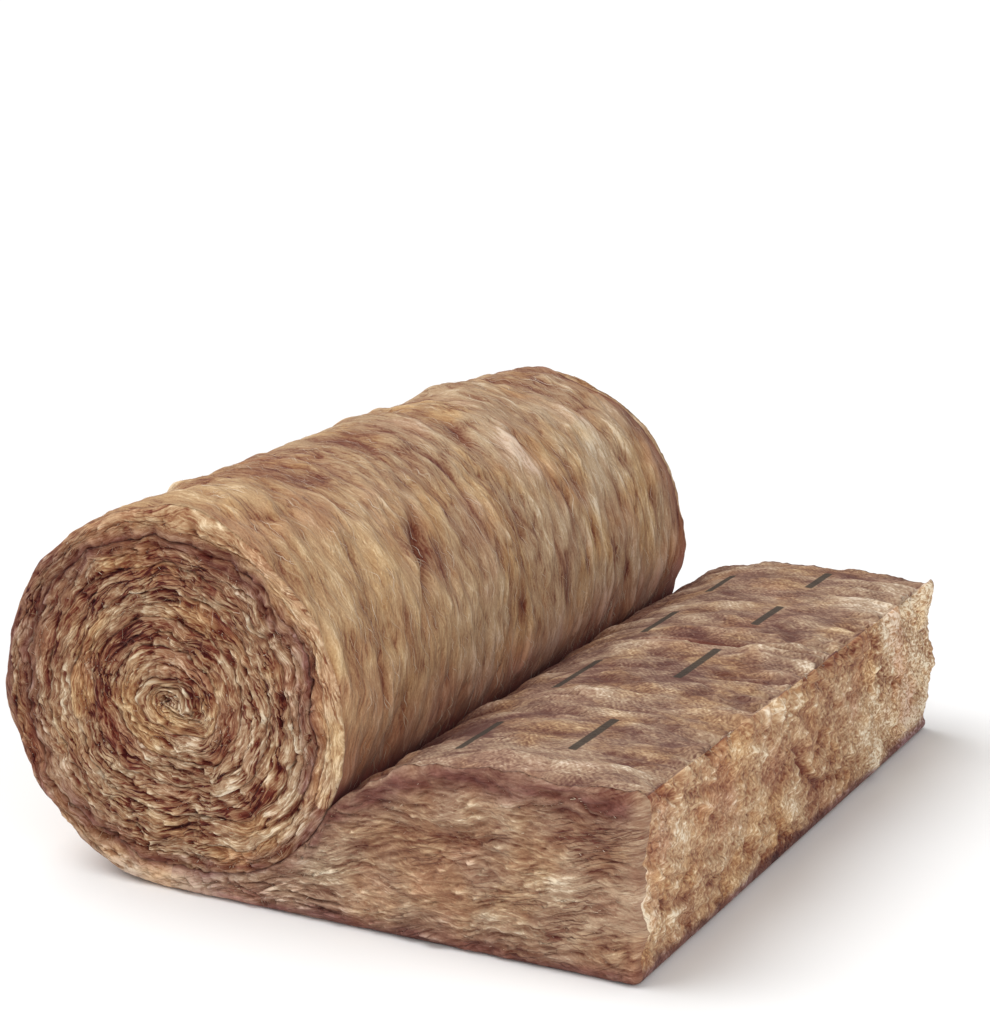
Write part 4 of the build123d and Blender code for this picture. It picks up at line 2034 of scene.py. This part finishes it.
@dataclass(frozen=True)
class Studio:
    """The floor, the light and the camera.

    Lengths are metres and angles are radians, but the camera's lens and sensor are millimetres.
    """

    camera_place: Triple = (1.7669, -3.6346, 1.4541)
    yaw: float = math.radians(26.17)
    pitch: float = math.radians(14.11)
    roll: float = math.radians(0.856)
    lens: float = 97.26
    sensor: float = 36.0
    floor_reach: float = 60.0
    floor_height: float = -0.0005
    floor_lumps: float = 3.0
    floor_tints: tuple[Colour, Colour] = ((0.88, 0.88, 0.88), (0.90, 0.90, 0.90))
    floor_roughness: float = 0.9
    aim: Triple = (0.0, 0.0, 0.2)
    sky_way: Triple = (-0.62, -0.10, 1.0)
    sky_spread: float = math.radians(55.0)
    sky_power: float = 2.5
    lamp_place: Triple = (2.7, -3.2, 1.7)
    lamp_size: float = 2.6
    lamp_power: float = 62.0
    lamp_tint: Colour = (1.0, 0.99, 0.975)
    fill: float = 0.50

    def floor(self) -> Object:
        """A wide pale floor, just under the part."""
        mesh = bpy.data.meshes.new("floor")
        corners = ((-1.0, -1.0), (1.0, -1.0), (1.0, 1.0), (-1.0, 1.0))
        spots = [(self.floor_reach * x, self.floor_reach * y, self.floor_height) for x, y in corners]
        mesh.from_pydata(spots, [], [(0, 1, 2, 3)])
        floor = bpy.data.objects.new("floor", mesh)
        bpy.context.scene.collection.objects.link(floor)
        graph = Graph("floor")
        place = graph.node("ShaderNodeTexCoord").outputs["Object"]
        pale = graph.blend(graph.noise(place, self.floor_lumps), *self.floor_tints)
        mesh.materials.append(graph.finish(pale, None, self.floor_roughness, 0.0))
        return floor

    def link(self, data: bpy.types.ID, facing: Vector) -> Object:
        """Hangs up a light that shines along a direction."""
        lamp = bpy.data.objects.new(data.name, data)
        lamp.rotation_euler = facing.to_track_quat("-Z", "Y").to_euler()
        bpy.context.scene.collection.objects.link(lamp)
        return lamp

    def lamp(self) -> None:
        """Adds a square soft light that faces the part."""
        data = bpy.data.lights.new("front", "AREA")
        data.size, data.energy, data.color = self.lamp_size, self.lamp_power, self.lamp_tint
        place = Vector(self.lamp_place)
        self.link(data, Vector(self.aim) - place).location = place

    def sky(self) -> None:
        """Adds a broad far light, as from a wide bright ceiling."""
        data = bpy.data.lights.new("sky", "SUN")
        data.angle, data.energy = self.sky_spread, self.sky_power
        self.link(data, -Vector(self.sky_way))

    def world(self) -> None:
        """Fills the shade with plain white light."""
        world = bpy.data.worlds.new("studio")
        world.use_nodes = True
        background = world.node_tree.nodes["Background"]
        background.inputs["Color"].default_value = (1.0, 1.0, 1.0, 1.0)
        background.inputs["Strength"].default_value = self.fill
        bpy.context.scene.world = world

    def camera(self) -> Object:
        """Sets up the camera at the photograph's place and angle."""
        level = math.cos(self.pitch)
        ahead = Vector((-math.sin(self.yaw) * level, math.cos(self.yaw) * level, -math.sin(self.pitch)))
        right = Vector((math.cos(self.yaw), math.sin(self.yaw), 0.0))
        up = right.cross(ahead)
        turn, slip = math.cos(self.roll), math.sin(self.roll)
        axes = Matrix((turn * right + slip * up, turn * up - slip * right, -ahead)).transposed()
        data = bpy.data.cameras.new("camera")
        data.sensor_fit = "VERTICAL"
        data.sensor_height = self.sensor
        data.lens = self.lens
        camera = bpy.data.objects.new("camera", data)
        camera.matrix_world = Matrix.Translation(self.camera_place) @ axes.to_4x4()
        bpy.context.scene.collection.objects.link(camera)
        bpy.context.scene.camera = camera
        return camera

    def build(self) -> None:
        """Sets up the whole studio."""
        self.floor()
        self.sky()
        self.lamp()
        self.world()
        self.camera()
        bpy.context.scene.view_settings.view_transform = "Standard"


@dataclass
class InsulationRoll:
    """The whole part: its sheets, its loose fibres and their finishes."""

    section: Section

    def finishes(self) -> dict[Surface, Material]:
        """Builds the materials, each by the surface that it dresses."""
        return {surface: surface.value.material() for surface in Surface}

    def build(self) -> list[Object]:
        """Builds every piece, dresses it and ties it to the part.

        Returns:
            The pieces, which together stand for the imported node.
        """
        finishes = self.finishes()
        pieces = []
        faces = self.faces()
        for face in faces.values():
            piece = hand_over(face.sheet.build(face.outward), finishes[face.surface])
            pieces.append(piece)
        for fibres in self.fibres(faces):
            pieces.append(hand_over(fibres.build(), finishes[Surface.FIBRE]))
        return pieces

    def faces(self) -> dict[str, Face]:
        """Builds every sheet, by a short name, in the order in which they are handed over."""
        roll, tail = RollSkin(self.section), TailGrid(self.section)
        front = MatEdge(self.section, roll, tail, Side.FRONT)
        back = MatEdge(self.section, roll, tail, Side.BACK, spacing=0.006, rows=9)
        top_sheet, cut_sheet = tail.sheets()
        return {
            "roll": Face(roll.sheet(), 1.0, Surface.ROLL),
            "top": Face(top_sheet, 1.0, Surface.TAIL),
            "cut": Face(cut_sheet, 1.0, Surface.CUT),
            "end": Face(front.spiral_sheet(), 1.0, Surface.END),
            "side": Face(front.tail_sheet(), 1.0, Surface.SIDE),
            "far_end": Face(back.spiral_sheet(), -1.0, Surface.END),
            "far_side": Face(back.tail_sheet(), -1.0, Surface.SIDE),
            "under": Face(Underside(self.section, tail).sheet(), -1.0, Surface.ROLL),
        }

    def fibres(self, faces: dict[str, Face]) -> list[LooseFibres]:
        """Lists the loose fibres of each surface.

        Args:
            faces: the sheets, by name.

        Returns:
            The sets of fibres, not yet built.
        """
        return [
            LooseFibres(
                "end_fibres", faces["end"], 4600, 101, length=0.020, curl=0.0022, lift=0.0016,
                rows=(0.06, 0.94), light=0.52,
            ),
            LooseFibres("side_fibres", faces["side"], 2600, 102, curl=0.0022, lift=0.0018, light=0.52),
            LooseFibres(
                "lip_fibres", faces["cut"], 2600, 108, length=0.012, width=0.0008, lift=0.006,
                columns=(0.93, 1.0), light=0.7,
            ),
            LooseFibres("top_fibres", faces["top"], 1800, 103, length=0.018, width=0.0006),
            LooseFibres("cut_fibres", faces["cut"], 2200, 107, length=0.012),
            LooseFibres("skin_fibres", faces["roll"], 3600, 104, width=0.0006),
            LooseFibres(
                "far_end_fibres", faces["far_end"], 1500, 105, width=0.0009, curl=0.0022,
                lift=0.003, rows=(0.1, 0.9),
            ),
            LooseFibres(
                "far_side_fibres", faces["far_side"], 900, 106, length=0.030, width=0.0009,
                curl=0.0035, lift=0.004,
            ),
        ]


def main() -> None:
    """Builds the part and the studio, and logs how many pieces there are."""
    logging.basicConfig(level=logging.INFO, format="%(message)s")
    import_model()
    part = InsulationRoll(Section.from_frame())
    pieces = part.build()
    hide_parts(NODE)
    Studio().build()
    log.info("%d pieces", len(pieces))


if __name__ == "__main__":
    main()
